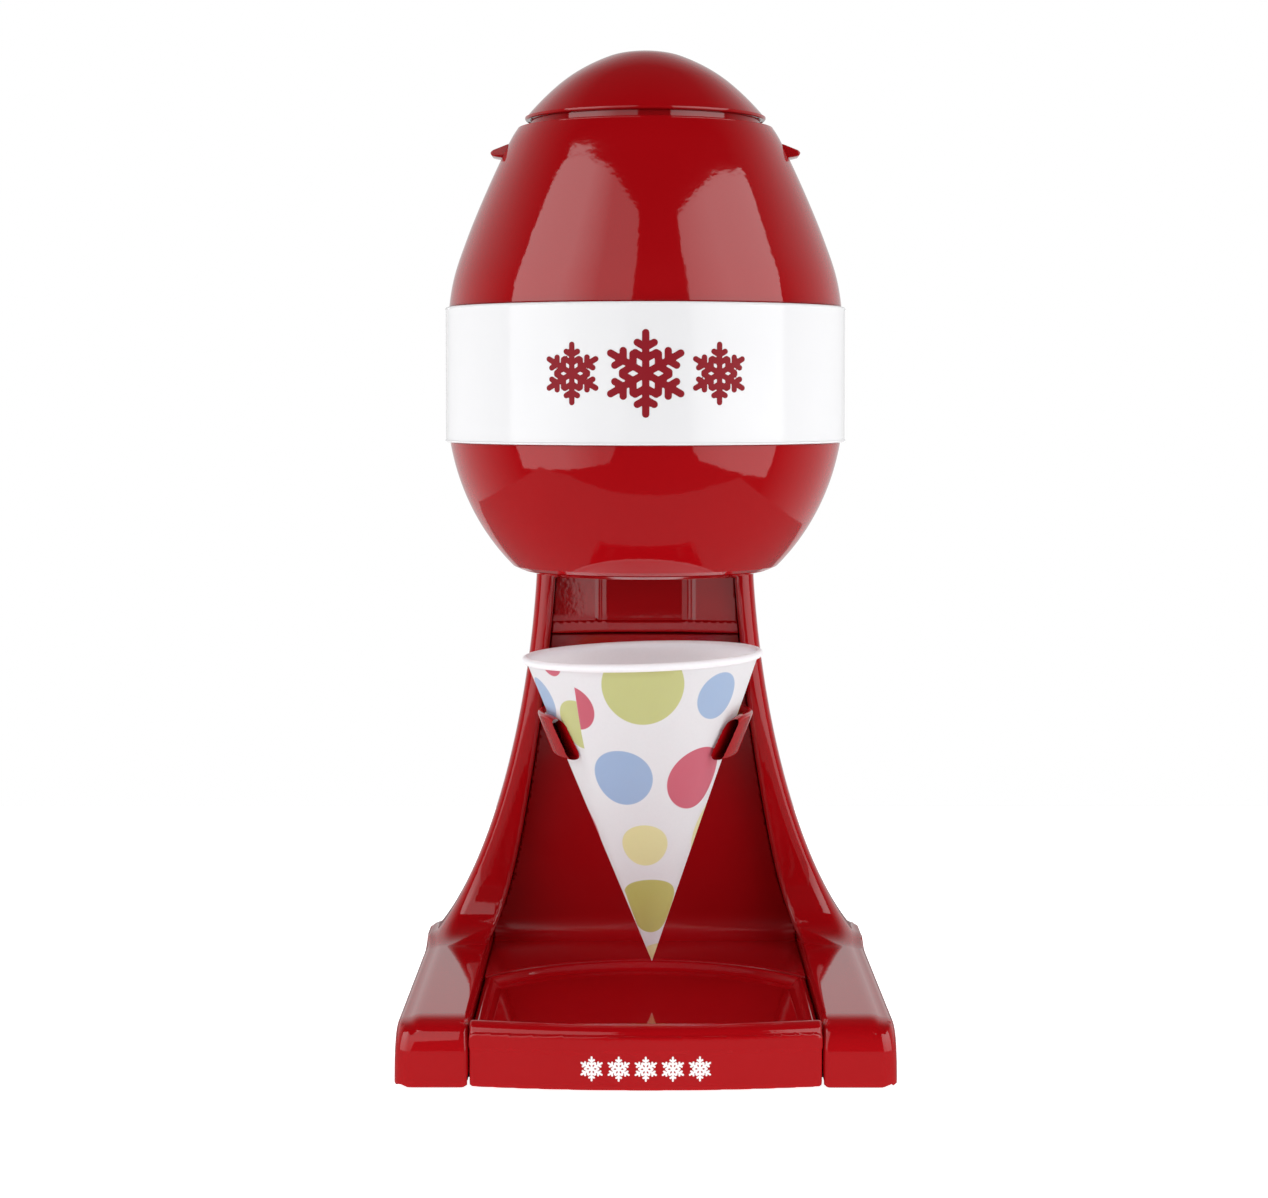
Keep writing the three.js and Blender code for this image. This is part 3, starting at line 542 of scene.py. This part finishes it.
def make_stand():
    y0, y1 = AXIS_Y - FOOT_FRONT, AXIS_Y - REAR
    mesh = moulded_mesh("stand_skin", stand_field, (-93, y0, 0.6), (93, y1, 222), 1.6)
    object_from("stand_skin", mesh, RED, "root", "stand_shell")
    mesh = moulded_mesh("channel_back", liner_field, (-66, -56, 16), (66, 80, 154), 1.1)
    object_from("channel_back", mesh, DEEP_RED, "root", "channel_liner")
    mesh = moulded_mesh("neck_cover", panel_field, (-39, 44, 153), (39, 56, 178), 0.8)
    object_from("neck_cover", mesh, RED, "root", "neck_panel")
    mesh = moulded_mesh("cone_cradle", holder_field, (-44, -28, 104), (44, 63, 132), 0.9)
    object_from("cone_cradle", mesh, RED, "root", "cone_holder")


def make_tray():
    mesh = moulded_mesh("tray_moulding", tray_field, (-65, -105, 1), (65, 36, 26), 1.1)
    object_from("tray_moulding", mesh, RED, "tray", "drip_tray")


# ---------------------------------------------------------------- egg, dome and spring
UPPER_POINTS = [(79, 262), (77.4, 292), (71, 314), (58.6, 343), (49.1, 360.2), (32.4, 377), (14.8, 386.6),
                (0, TOP_Z)]


def spline(points, steps=14):
    """Uniform Catmull-Rom curve through points."""
    ends = [points[0]] + list(points) + [points[-1]]
    curve = []
    for k in range(len(points) - 1):
        a, b, c, d = (np.array(ends[k + j], float) for j in range(4))
        for t in np.arange(steps) / steps:
            curve.append(0.5 * (2 * b + (c - a) * t + (2 * a - 5 * b + 4 * c - d) * t ** 2
                                + (3 * b - a - 3 * c + d) * t ** 3))
    return np.array(curve + [np.array(points[-1], float)])


UPPER = spline(UPPER_POINTS)


def upper_radius(z):
    return np.interp(z, UPPER[:, 1], UPPER[:, 0])


def lower_radius(z):
    return EGG_R * np.sqrt(1 - ((LOWER_TOP - z) / LOWER_HEIGHT) ** 2)


def run_of(radius_at, start, end, count, inset=0.0):
    return [(float(radius_at(z)) - inset, float(z), 0) for z in np.linspace(start, end, count)]


def cut_boxes(piece, boxes):
    """Cuts boxes, given as (low, high) corners in millimetres, out of a piece."""
    points, faces = [], []
    for low, high in boxes:
        first = len(points)
        for x in (low[0], high[0]):
            for y in (low[1], high[1]):
                for z in (low[2], high[2]):
                    points.append((x, y, z))
        faces += [tuple(first + i for i in quad) for quad in (
            (0, 1, 3, 2), (4, 6, 7, 5), (0, 4, 5, 1), (2, 3, 7, 6), (0, 2, 6, 4), (1, 5, 7, 3))]
    cutter = bpy.data.objects.new("cutter", mesh_from("cutter", points, faces))
    bpy.context.scene.collection.objects.link(cutter)
    modifier = piece.modifiers.new("cut", "BOOLEAN")
    modifier.operation, modifier.solver, modifier.object = "DIFFERENCE", "EXACT", cutter
    bpy.context.view_layer.update()
    cut = bpy.data.meshes.new_from_object(piece.evaluated_get(bpy.context.evaluated_depsgraph_get()))
    piece.modifiers.clear()
    bpy.data.objects.remove(cutter)
    piece.data = cut
    return piece


def follow_turning(mesh, radius_at):
    """Gives the outer skin the smooth normals of the turned shape that it was cut from."""
    near_angle = math.radians(20)
    normals = []
    for polygon in mesh.polygons:
        for k in polygon.loop_indices:
            x, y, z = (value / MM for value in mesh.vertices[mesh.loops[k].vertex_index].co)
            across = math.hypot(x, y - AXIS_Y)
            rise = -(float(radius_at(z + 0.2)) - float(radius_at(z - 0.2))) / 0.4
            ideal = Vector((x / max(across, 1e-6), (y - AXIS_Y) / max(across, 1e-6), rise)).normalized()
            on_skin = abs(across - float(radius_at(z))) < 0.4
            near = polygon.normal.angle(ideal, 3.0) < near_angle
            normals.append(ideal if on_skin and near else polygon.normal.copy())
    mesh.normals_split_custom_set(normals)


def make_egg():
    """Lower shell with its spigot, vents and snow outlet; upper shell with its ear slots; band."""
    seat, inner = 76.6, 76.6 - WALL
    profile = [(0, EGG_FLOOR, 0), (43, EGG_FLOOR, 8.0), (49.2, 183.2, 8.0)]
    profile += run_of(lower_radius, 184.8, BAND_LOW[2] - 0.7, 36)
    profile += [(77.0, BAND_LOW[2] - 0.3, 0.3), (seat, BAND_LOW[2], 0), (seat, 261.7, 0), (inner, 261.7, 0)]
    profile += [(inner, 235.7, 0), (70, 235.7, 0), (70, 233.5, 0)]
    profile += run_of(lower_radius, 231, 186, 12, WALL) + [(0, EGG_FLOOR + WALL, 0)]
    mesh = turned_mesh("lower_egg", filleted(profile), 160)
    lower = object_from("lower_egg", mesh, RED, "root", "lower_shell")
    vents = [((-16, AXIS_Y + 48, z), (16, AXIS_Y + 90, z + 3)) for z in (196, 202, 208, 214, 220)]
    snow_outlet = ((-20.6, AXIS_Y - 35.6, 170), (20.6, AXIS_Y - 0.4, 187))
    cut_boxes(lower, vents + [snow_outlet])
    follow_turning(lower.data, lower_radius)

    profile = [(seat, 262, 0), (seat, BAND_HIGH[2] + 0.2, 0), (77.3, BAND_HIGH[2] + 0.35, 0.25)]
    profile += run_of(upper_radius, BAND_HIGH[2] + 0.8, RIM_Z - 1.2, 60)
    profile += [(float(upper_radius(RIM_Z)) - 0.1, RIM_Z, 0.9), (48, RIM_Z, 0.4), (51.2, 352, 0)]
    profile += [(55.2, 344.6, 0), (46, 344.6, 0), (46, 342.4, 0)]
    profile += run_of(upper_radius, 342.2, 280, 14, WALL) + [(inner, 262, 0)]
    mesh = turned_mesh("upper_egg", filleted(profile), 160)
    upper = object_from("upper_egg", mesh, RED, "root", "upper_shell")
    ear_slots = [((side * 60 - 10, AXIS_Y - 7.3, 345.1), (side * 60 + 10, AXIS_Y + 7.3, 353.6))
                 for side in (-1, 1)]
    cut_boxes(upper, ear_slots)
    follow_turning(upper.data, upper_radius)

    low, high = BAND_LOW[2], BAND_HIGH[2]
    profile = [(76.9, low, 0), (BAND_R, low, 0.7), (BAND_R, high, 0.7), (76.9, high, 0)]
    mesh = turned_mesh("middle_band", filleted(profile), 192)
    object_from("middle_band", mesh, WHITE, "root", "centre_band")


def make_lid():
    """Dome with a skirt and the sleeve that guides the press plate's stem."""
    edge, skirt_inner, skirt_outer, skirt_bottom = 361.6, 41.5, 45.5, 350.6
    profile = [(0, TOP_Z, 0)]
    profile += [(float(r), float(z), 0) for r, z in UPPER[::-1][1:] if edge + 1.4 < z < TOP_Z - 0.02]
    profile += [(float(upper_radius(edge)), edge, 0.9), (skirt_outer, edge, 0.3)]
    profile += [(skirt_outer, skirt_bottom, 0.5), (skirt_inner, skirt_bottom, 0.5)]
    profile += [(skirt_inner, 365.4, 0), (36, 370.8, 0), (24, 379.6, 0), (12, 384.9, 0)]
    profile += [(5.4, 386.2, 0), (5.4, 345.5, 0), (3.4, 345.5, 0), (3.4, 385.5, 0), (0, 386.4, 0)]
    mesh = turned_mesh("dome_cap", filleted(profile), 160)
    object_from("dome_cap", mesh, RED, "dome", "press_dome")


def make_spring():
    """Coil round the dome's sleeve, from the press plate up to the dome."""
    low, high, radius, wire = 302.4, 384.2, 8.5, 0.8
    turns, steps, sides = 8, 20, 10
    points = []
    for k in range(turns * steps + 1):
        around = 2 * math.pi * k / steps
        rise = low + wire + (high - low - 2 * wire) * k / (turns * steps)
        for j in range(sides):
            angle = 2 * math.pi * j / sides
            across = radius + wire * math.cos(angle)
            points.append((across * math.cos(around), AXIS_Y + across * math.sin(around),
                           rise + wire * math.sin(angle)))
    faces = joined_rows(turns * steps + 1, sides)
    faces += [tuple(range(sides)), tuple(range(len(points) - sides, len(points)))]
    mesh = mesh_from("spring_coil", points, faces, 50)
    mesh.materials.append(STEEL)
    coil = bpy.data.objects.new("spring_coil", mesh)
    bpy.context.scene.collection.objects.link(coil)
    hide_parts("press_spring")
    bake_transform(coil)


make_stand()
make_tray()
make_egg()
make_lid()
make_spring()


# ---------------------------------------------------------------- ears
def ear_mesh(name, side):
    """A pinched lug that sticks out of a slot at the shoulder, its edges rounded."""
    outline = [(48.6, 346), (53, 346.3), (58.5, 346.6), (60.8, 347.2), (61.4, 348.3), (60.4, 349.3)]
    outline += [(54.4, 351.7), (51, 351.9), (49.2, 351.2), (48.6, 349.8)]
    half, count = 7.0, len(outline)
    points = [(side * u, AXIS_Y + y, v) for y in (-half, half) for u, v in outline]
    faces = [tuple(range(count)), tuple(range(2 * count - 1, count - 1, -1))]
    faces += [(k, (k + 1) % count, count + (k + 1) % count, count + k) for k in range(count)]
    mesh = mesh_from(name, points, faces)
    working = bmesh.new()
    working.from_mesh(mesh)
    bmesh.ops.bevel(working, geom=working.edges[:], offset=0.7 * MM, segments=3, affect="EDGES",
                    profile=0.6, clamp_overlap=True)
    working.to_mesh(mesh)
    working.free()
    mesh.polygons.foreach_set("use_smooth", [True] * len(mesh.polygons))
    mesh.set_sharp_from_angle(angle=math.radians(40))
    return mesh


def make_ears():
    for name, side in (("right", 1), ("left", -1)):
        object_from("ear_" + name, ear_mesh("ear_" + name, side), RED, "ear_" + name, "latch_" + name)


make_ears()


# ---------------------------------------------------------------- paper cup
SLANT = math.atan(CUP_SLOPE)
SEAM_TOP, SEAM_TURN = math.radians(-37), math.radians(0.23)   # angle near the lip, turn per mm below
PAPER_UNIT = 100                                              # millimetres in a unit of the paper's map


def seam_angle(slant):
    """Angle of the paper's edge at a distance up the slope from the tip."""
    near_lip = 123
    return SEAM_TOP - SEAM_TURN * (near_lip - slant)


def cup_mesh(name):
    """Cone of one rolled sheet, its outer edge lapped over the inner one, with a rolled lip."""
    columns, outer_rows = 150, 44
    bead_r, bead_z, bead = 46.15, 149.65, 1.5
    rows = [(CUP_SLOPE * (z - CUP_TIP), z) for z in np.linspace(CUP_TIP + 0.6, 147.9, outer_rows)]
    for turn in range(-80, 201, 20):
        angle = math.radians(turn)
        rows.append((bead_r + bead * math.cos(angle), bead_z + bead * math.sin(angle)))
    inner = [(CUP_SLOPE * (z - CUP_TIP) - 0.75, z) for z in np.linspace(148.2, 31.5, 40)]
    points, places = [], []
    for k, (radius, z) in enumerate(rows + inner):
        outside = k < outer_rows
        slant = (z - CUP_TIP) / math.cos(SLANT)
        for c in range(columns + 1):
            share = c / columns
            around = seam_angle(slant) + 2 * math.pi * share
            lap = 0.4 * max(0.0, 1 - share / 0.3) if outside else 0.0
            across = radius + lap * min(1.0, radius / 8)
            points.append((across * math.sin(around), -across * math.cos(around), z))
            unrolled = around * math.sin(SLANT)
            places.append((slant * math.cos(unrolled) / PAPER_UNIT, slant * math.sin(unrolled) / PAPER_UNIT))
    width = columns + 1
    total = len(rows) + len(inner)
    faces = joined_rows(total, width)
    for base, tip in ((0, CUP_TIP), ((total - 1) * width, 31.2)):
        points.append((0, 0, tip))
        places.append((0, 0))
        faces += [(base + c, base + (c + 1) % width, len(points) - 1) for c in range(width)]
    points = np.array(points)
    high = points[:, 2] - CUP_PIVOT
    turned = points.copy()
    turned[:, 0] = points[:, 0] * math.cos(CUP_TILT) - high * math.sin(CUP_TILT)
    turned[:, 1] = points[:, 1] + CUP_Y
    turned[:, 2] = CUP_PIVOT + high * math.cos(CUP_TILT) + points[:, 0] * math.sin(CUP_TILT)
    mesh = mesh_from(name, turned, faces, 50)
    layer = mesh.uv_layers.new(name="paper")
    for loop in mesh.loops:
        layer.data[loop.index].uv = places[loop.vertex_index]
    paint = mesh.attributes.new("outside", "FLOAT", "POINT")
    paint.data.foreach_set("value", [1.0 if k < outer_rows * width else 0.0 for k in range(len(points))])
    return mesh


YELLOW_GREEN, BLUE, PINK = (0.53, 0.55, 0.24), (0.33, 0.45, 0.66), (0.55, 0.12, 0.17)
YELLOW, OLIVE, PAPER = (0.77, 0.7, 0.36), (0.5, 0.48, 0.15), (0.81, 0.8, 0.83)
DOTS = [  # degrees round the cup from its front, mm up the slope from the tip, radius, colour
    (0, 122, 16, YELLOW_GREEN), (44, 116, 9.8, BLUE), (-72, 115, 9, BLUE), (-42, 113, 9.5, PINK),
    (317.5, 105.5, 10.5, YELLOW_GREEN), (-18, 83, 11.8, BLUE), (43, 81, 13.2, PINK), (-4, 53, 9, YELLOW),
    (0, 25.5, 12, OLIVE), (40, 4.5, 3.5, YELLOW), (310, 132, 6, PINK), (288, 115, 9, BLUE),
    (95, 58, 11, YELLOW), (98, 103, 12, OLIVE), (142, 122, 10, BLUE), (150, 84, 12, PINK),
    (235, 88, 12, YELLOW_GREEN), (205, 112, 13, YELLOW_GREEN), (190, 50, 9, BLUE), (262, 60, 9, PINK)]


def paper_material():
    """Matt waxed paper with printed spots; the inside is plain, lets some light through its subsurface, and
    also has a faint painted glow that stands in for more light coming through the paper.
    """
    material, tree, shader = new_material("cup_paper")
    place = node(tree, "ShaderNodeUVMap", uv_map="paper")
    outside = node(tree, "ShaderNodeAttribute", attribute_name="outside")
    fibre = noise(tree, 900.0, 3.0)
    colour = blend_colours(tree, fibre, tuple(c * 0.96 for c in PAPER), PAPER)
    for degrees, slant, radius, ink in DOTS:
        unrolled = math.radians(degrees) * math.sin(SLANT)
        centre = (slant * math.cos(unrolled) / PAPER_UNIT, slant * math.sin(unrolled) / PAPER_UNIT, 0)
        apart = node(tree, "ShaderNodeVectorMath", operation="DISTANCE")
        apart.inputs[1].default_value = centre
        tree.links.new(place.outputs["UV"], apart.inputs[0])
        within, beyond = (radius - 0.15) / PAPER_UNIT, (radius + 0.15) / PAPER_UNIT
        edge = ramp(tree, apart.outputs["Value"], 1.0, 0.0, within, beyond)
        shown = node(tree, "ShaderNodeMath", operation="MULTIPLY")
        tree.links.new(edge, shown.inputs[0])
        tree.links.new(outside.outputs["Fac"], shown.inputs[1])
        colour = blend_colours(tree, shown.outputs["Value"], colour, ink)
    tree.links.new(colour, shader.inputs["Base Color"])
    # Painted light: the inside of the cup glows faintly in the paper's own colour, standing in for light
    # through the paper; the outside does not glow.
    tree.links.new(colour, shader.inputs["Emission Color"])
    glow = ramp(tree, outside.outputs["Fac"], 0.16, 0.0)
    tree.links.new(glow, shader.inputs["Emission Strength"])
    rough = ramp(tree, noise(tree, 250.0, 3.0), 0.38, 0.52)
    tree.links.new(rough, shader.inputs["Roughness"])
    shader.inputs["Subsurface Weight"].default_value = 0.7
    shader.inputs["Subsurface Radius"].default_value = (0.004, 0.0036, 0.0036)
    shader.inputs["Subsurface Scale"].default_value = 1.0
    bump(tree, shader, fibre, 0.00003, 0.4)
    return material


object_from("paper_cone", cup_mesh("paper_cone"), paper_material(), "cup", "paper_cup")


# ---------------------------------------------------------------- prints
def flake_distance(u, v, radius, stroke):
    """Distance outside a six-armed snowflake with two pairs of twigs on each arm."""
    out = np.hypot(u, v)
    turn = np.mod(np.arctan2(u, v) + math.pi / 6, math.pi / 3) - math.pi / 6
    along, aside = out * np.cos(turn), np.abs(out * np.sin(turn))
    near = np.full(np.shape(u), 1e3)
    reach = radius - stroke / 2
    for start, length in ((0.0, 0.0), (0.36, 0.3), (0.64, 0.24)):
        twig = (0.5, 0.866) if start else (1.0, 0.0)
        size = (length if start else 1.0) * reach
        a = along - start * reach
        t = np.clip(a * twig[0] + aside * twig[1], 0, size)
        near = np.minimum(near, np.hypot(a - t * twig[0], aside - t * twig[1]) - stroke / 2)
    return near


def print_mesh(name, flakes, place, cell):
    """Raised print: flakes are (u, v, radius, stroke), place bends (u, v, height) on to a surface."""
    thickness, swell = 0.14, 8.0        # it is meshed swell times as thick, then flattened

    def field(p):
        shape = np.min([flake_distance(p[:, 0] - u, p[:, 1] - v, r, s) for u, v, r, s in flakes], axis=0)
        return smooth_max(shape, np.abs(p[:, 2]) - thickness * swell, 0.4)

    reach = [max(abs(f[k]) + f[2] for f in flakes) for k in (0, 1)]
    low, high = (-reach[0], -reach[1], -thickness * swell), (reach[0], reach[1], thickness * swell)
    points, quads = grid_cells(field, low, high, cell)
    for _ in range(2):
        points = relax(settle(field, points, 2, cell), quads)
    points = settle(field, points, 4, cell / 2)
    bent = [place(u, v, height / swell) for u, v, height in points]
    return mesh_from(name, bent, quads.tolist(), 50)


def on_band(u, v, height):
    turn = u / BAND_R
    across = BAND_R + height
    return across * math.sin(turn), AXIS_Y - across * math.cos(turn), (BAND_LOW[2] + BAND_HIGH[2]) / 2 + v


def on_apron(u, v, height):
    forward = FOOT_FRONT + TRAY_BOW * (1 - (u / TRAY_HALF) ** 2) + height
    return u, AXIS_Y - forward, APRON_BOTTOM + 8.2 + v


def make_prints():
    """Three red flakes on the band and a row of white ones on the apron."""
    flakes = [(0, 0, 16.4, 2.7), (-28, 0, 11.8, 2.1), (28, 0, 11.8, 2.1)]
    object_from("band_print", print_mesh("band_print", flakes, on_band, 0.42), RED_INK, "root")
    flakes = [(u, 0, 4.6, 0.72) for u in (-19.6, -9.8, 0, 9.8, 19.6)]
    object_from("apron_print", print_mesh("apron_print", flakes, on_apron, 0.16), WHITE_INK, "tray")


make_prints()


# ---------------------------------------------------------------- finishes of the CAD nodes that stay
FINISHES = {
    "base_plate": BLACK, "cord_inlet": BLACK, "microswitch": BLACK, "ice_hopper": CLEAR, "lid_ring": RED,
    "upper_bush": BRASS, "lower_bush": BRASS, "pinion": BRASS, "drive_gear": NYLON, "mechanism_deck": NYLON,
    "gearbox_plate": NYLON, "snow_duct": NYLON, "interlock_rod": NYLON, "press_plate": NYLON}


def finish_nodes():
    """Gives each CAD mesh that is still shown its material."""
    for name, piece in NODES.items():
        if piece.hide_render:
            continue
        material = FINISHES.get(name, RUBBER if name.startswith("foot_pad") else STEEL)
        piece.data.materials.clear()
        piece.data.materials.append(material)


finish_nodes()


# ---------------------------------------------------------------- studio
def fading_glow(tree, radiance, near, far, inner, low):
    """Glow that falls to inner times its strength toward X = near, and to low times below the table."""
    place = node(tree, "ShaderNodeTexCoord")
    axes = node(tree, "ShaderNodeSeparateXYZ")
    tree.links.new(place.outputs["Object"], axes.inputs[0])
    level = node(tree, "ShaderNodeMath", operation="MULTIPLY")
    tree.links.new(ramp(tree, axes.outputs["X"], inner * radiance, radiance, near, far), level.inputs[0])
    tree.links.new(ramp(tree, axes.outputs["Z"], low, 1.0, 0.0, 0.4), level.inputs[1])
    return level.outputs["Value"]


def stage_sheet(name, points, colour, emission):
    """Flat sheet of the set, from corners in millimetres; its glow may fade along X and Z."""
    mesh = bpy.data.meshes.new(name)
    mesh.from_pydata([tuple(v * MM for v in p) for p in points], [], [tuple(range(len(points)))])
    material, tree, shader = new_material(name)
    drift = blend_colours(tree, noise(tree, 3.0), tuple(0.97 * c for c in colour), colour)
    tree.links.new(drift, shader.inputs["Base Color"])
    shader.inputs["Roughness"].default_value = 0.9
    shader.inputs["Emission Color"].default_value = (1, 1, 1, 1)
    if isinstance(emission, tuple):
        tree.links.new(fading_glow(tree, *emission), shader.inputs["Emission Strength"])
    else:
        shader.inputs["Emission Strength"].default_value = emission
    mesh.materials.append(material)
    sheet = bpy.data.objects.new(name, mesh)
    bpy.context.scene.collection.objects.link(sheet)
    return sheet


def make_floor():
    """Pale table top, with a duller sheet in its place for reflections."""
    outline = [(-900, -310, 0), (900, -310, 0), (900, 560, 0), (-900, 560, 0)]
    floor = stage_sheet("floor", outline, (0.93,) * 3, 0.95)
    floor.visible_glossy = False
    outline = [(-480, -230, 0), (-300, -290, 0), (0, -285, 0), (230, -262, 0), (370, -225, 0), (370, 560, 0),
               (-480, 560, 0)]
    mirror = stage_sheet("floor_reflection", outline, (0.05,) * 3, 0.12)
    mirror.visible_camera = mirror.visible_diffuse = False
    mirror.visible_shadow = mirror.visible_transmission = False


def soft_box(name, start, end, outline, radiance):
    """Upright glowing panel through two plan points, its outline given along the plan line and in height."""
    start, end = Vector((*start, 0)), Vector((*end, 0))
    along = (end - start).normalized()
    points = [tuple(start + along * u + Vector((0, 0, z))) for u, z in outline]
    panel = stage_sheet(name, points, (0.02,) * 3, radiance)
    panel.visible_camera = False


def make_world():
    """White for the camera; otherwise dark in front, paler behind, with more light for matt surfaces."""
    world = bpy.data.worlds.new("studio")
    bpy.context.scene.world = world
    world.use_nodes = True
    tree = world.node_tree
    back = tree.nodes["Background"]
    ray = tree.nodes.new("ShaderNodeLightPath")
    place = tree.nodes.new("ShaderNodeTexCoord")
    axes = tree.nodes.new("ShaderNodeSeparateXYZ")
    tree.links.new(place.outputs["Generated"], axes.inputs[0])
    level = node(tree, "ShaderNodeMath", operation="MULTIPLY")
    tree.links.new(ramp(tree, axes.outputs["Y"], 0.03, 0.65, -0.1, 0.8), level.inputs[0])
    tree.links.new(ramp(tree, axes.outputs["Z"], 1.0, 0.15, 0.45, 0.85), level.inputs[1])
    fill = node(tree, "ShaderNodeMath", operation="MULTIPLY_ADD")
    fill.inputs[1].default_value = 0.25
    tree.links.new(ray.outputs["Is Diffuse Ray"], fill.inputs[0])
    tree.links.new(level.outputs["Value"], fill.inputs[2])
    seen = node(tree, "ShaderNodeMath", operation="MAXIMUM")
    tree.links.new(ray.outputs["Is Camera Ray"], seen.inputs[0])
    tree.links.new(fill.outputs["Value"], seen.inputs[1])
    tree.links.new(seen.outputs["Value"], back.inputs["Strength"])
    back.inputs["Color"].default_value = (1, 1, 1, 1)


make_floor()
make_world()
soft_box("left_soft_box", (-60, -1000), (-900, -110), [
    (340, -165), (850, -135), (1150, -135), (1150, 200), (1235, 850), (1200, 1070), (1080, 1150), (690, 1185),
    (370, 1260), (30, 1345), (60, 900), (90, 450), (280, -60)], (2.05, -0.35, -0.55, 0.4, 0.6))
soft_box("right_soft_box", (342, -940), (900, 0), [
    (230, -165), (930, -180), (950, 300), (1050, 750), (1110, 1000), (1070, 1045), (900, 1050), (500, 1130),
    (250, 1210), (95, 1250), (90, 500), (150, -90)], (2.05, 0.4, 0.6, 0.7, 0.6))
bpy.context.scene.view_settings.view_transform = "Standard"
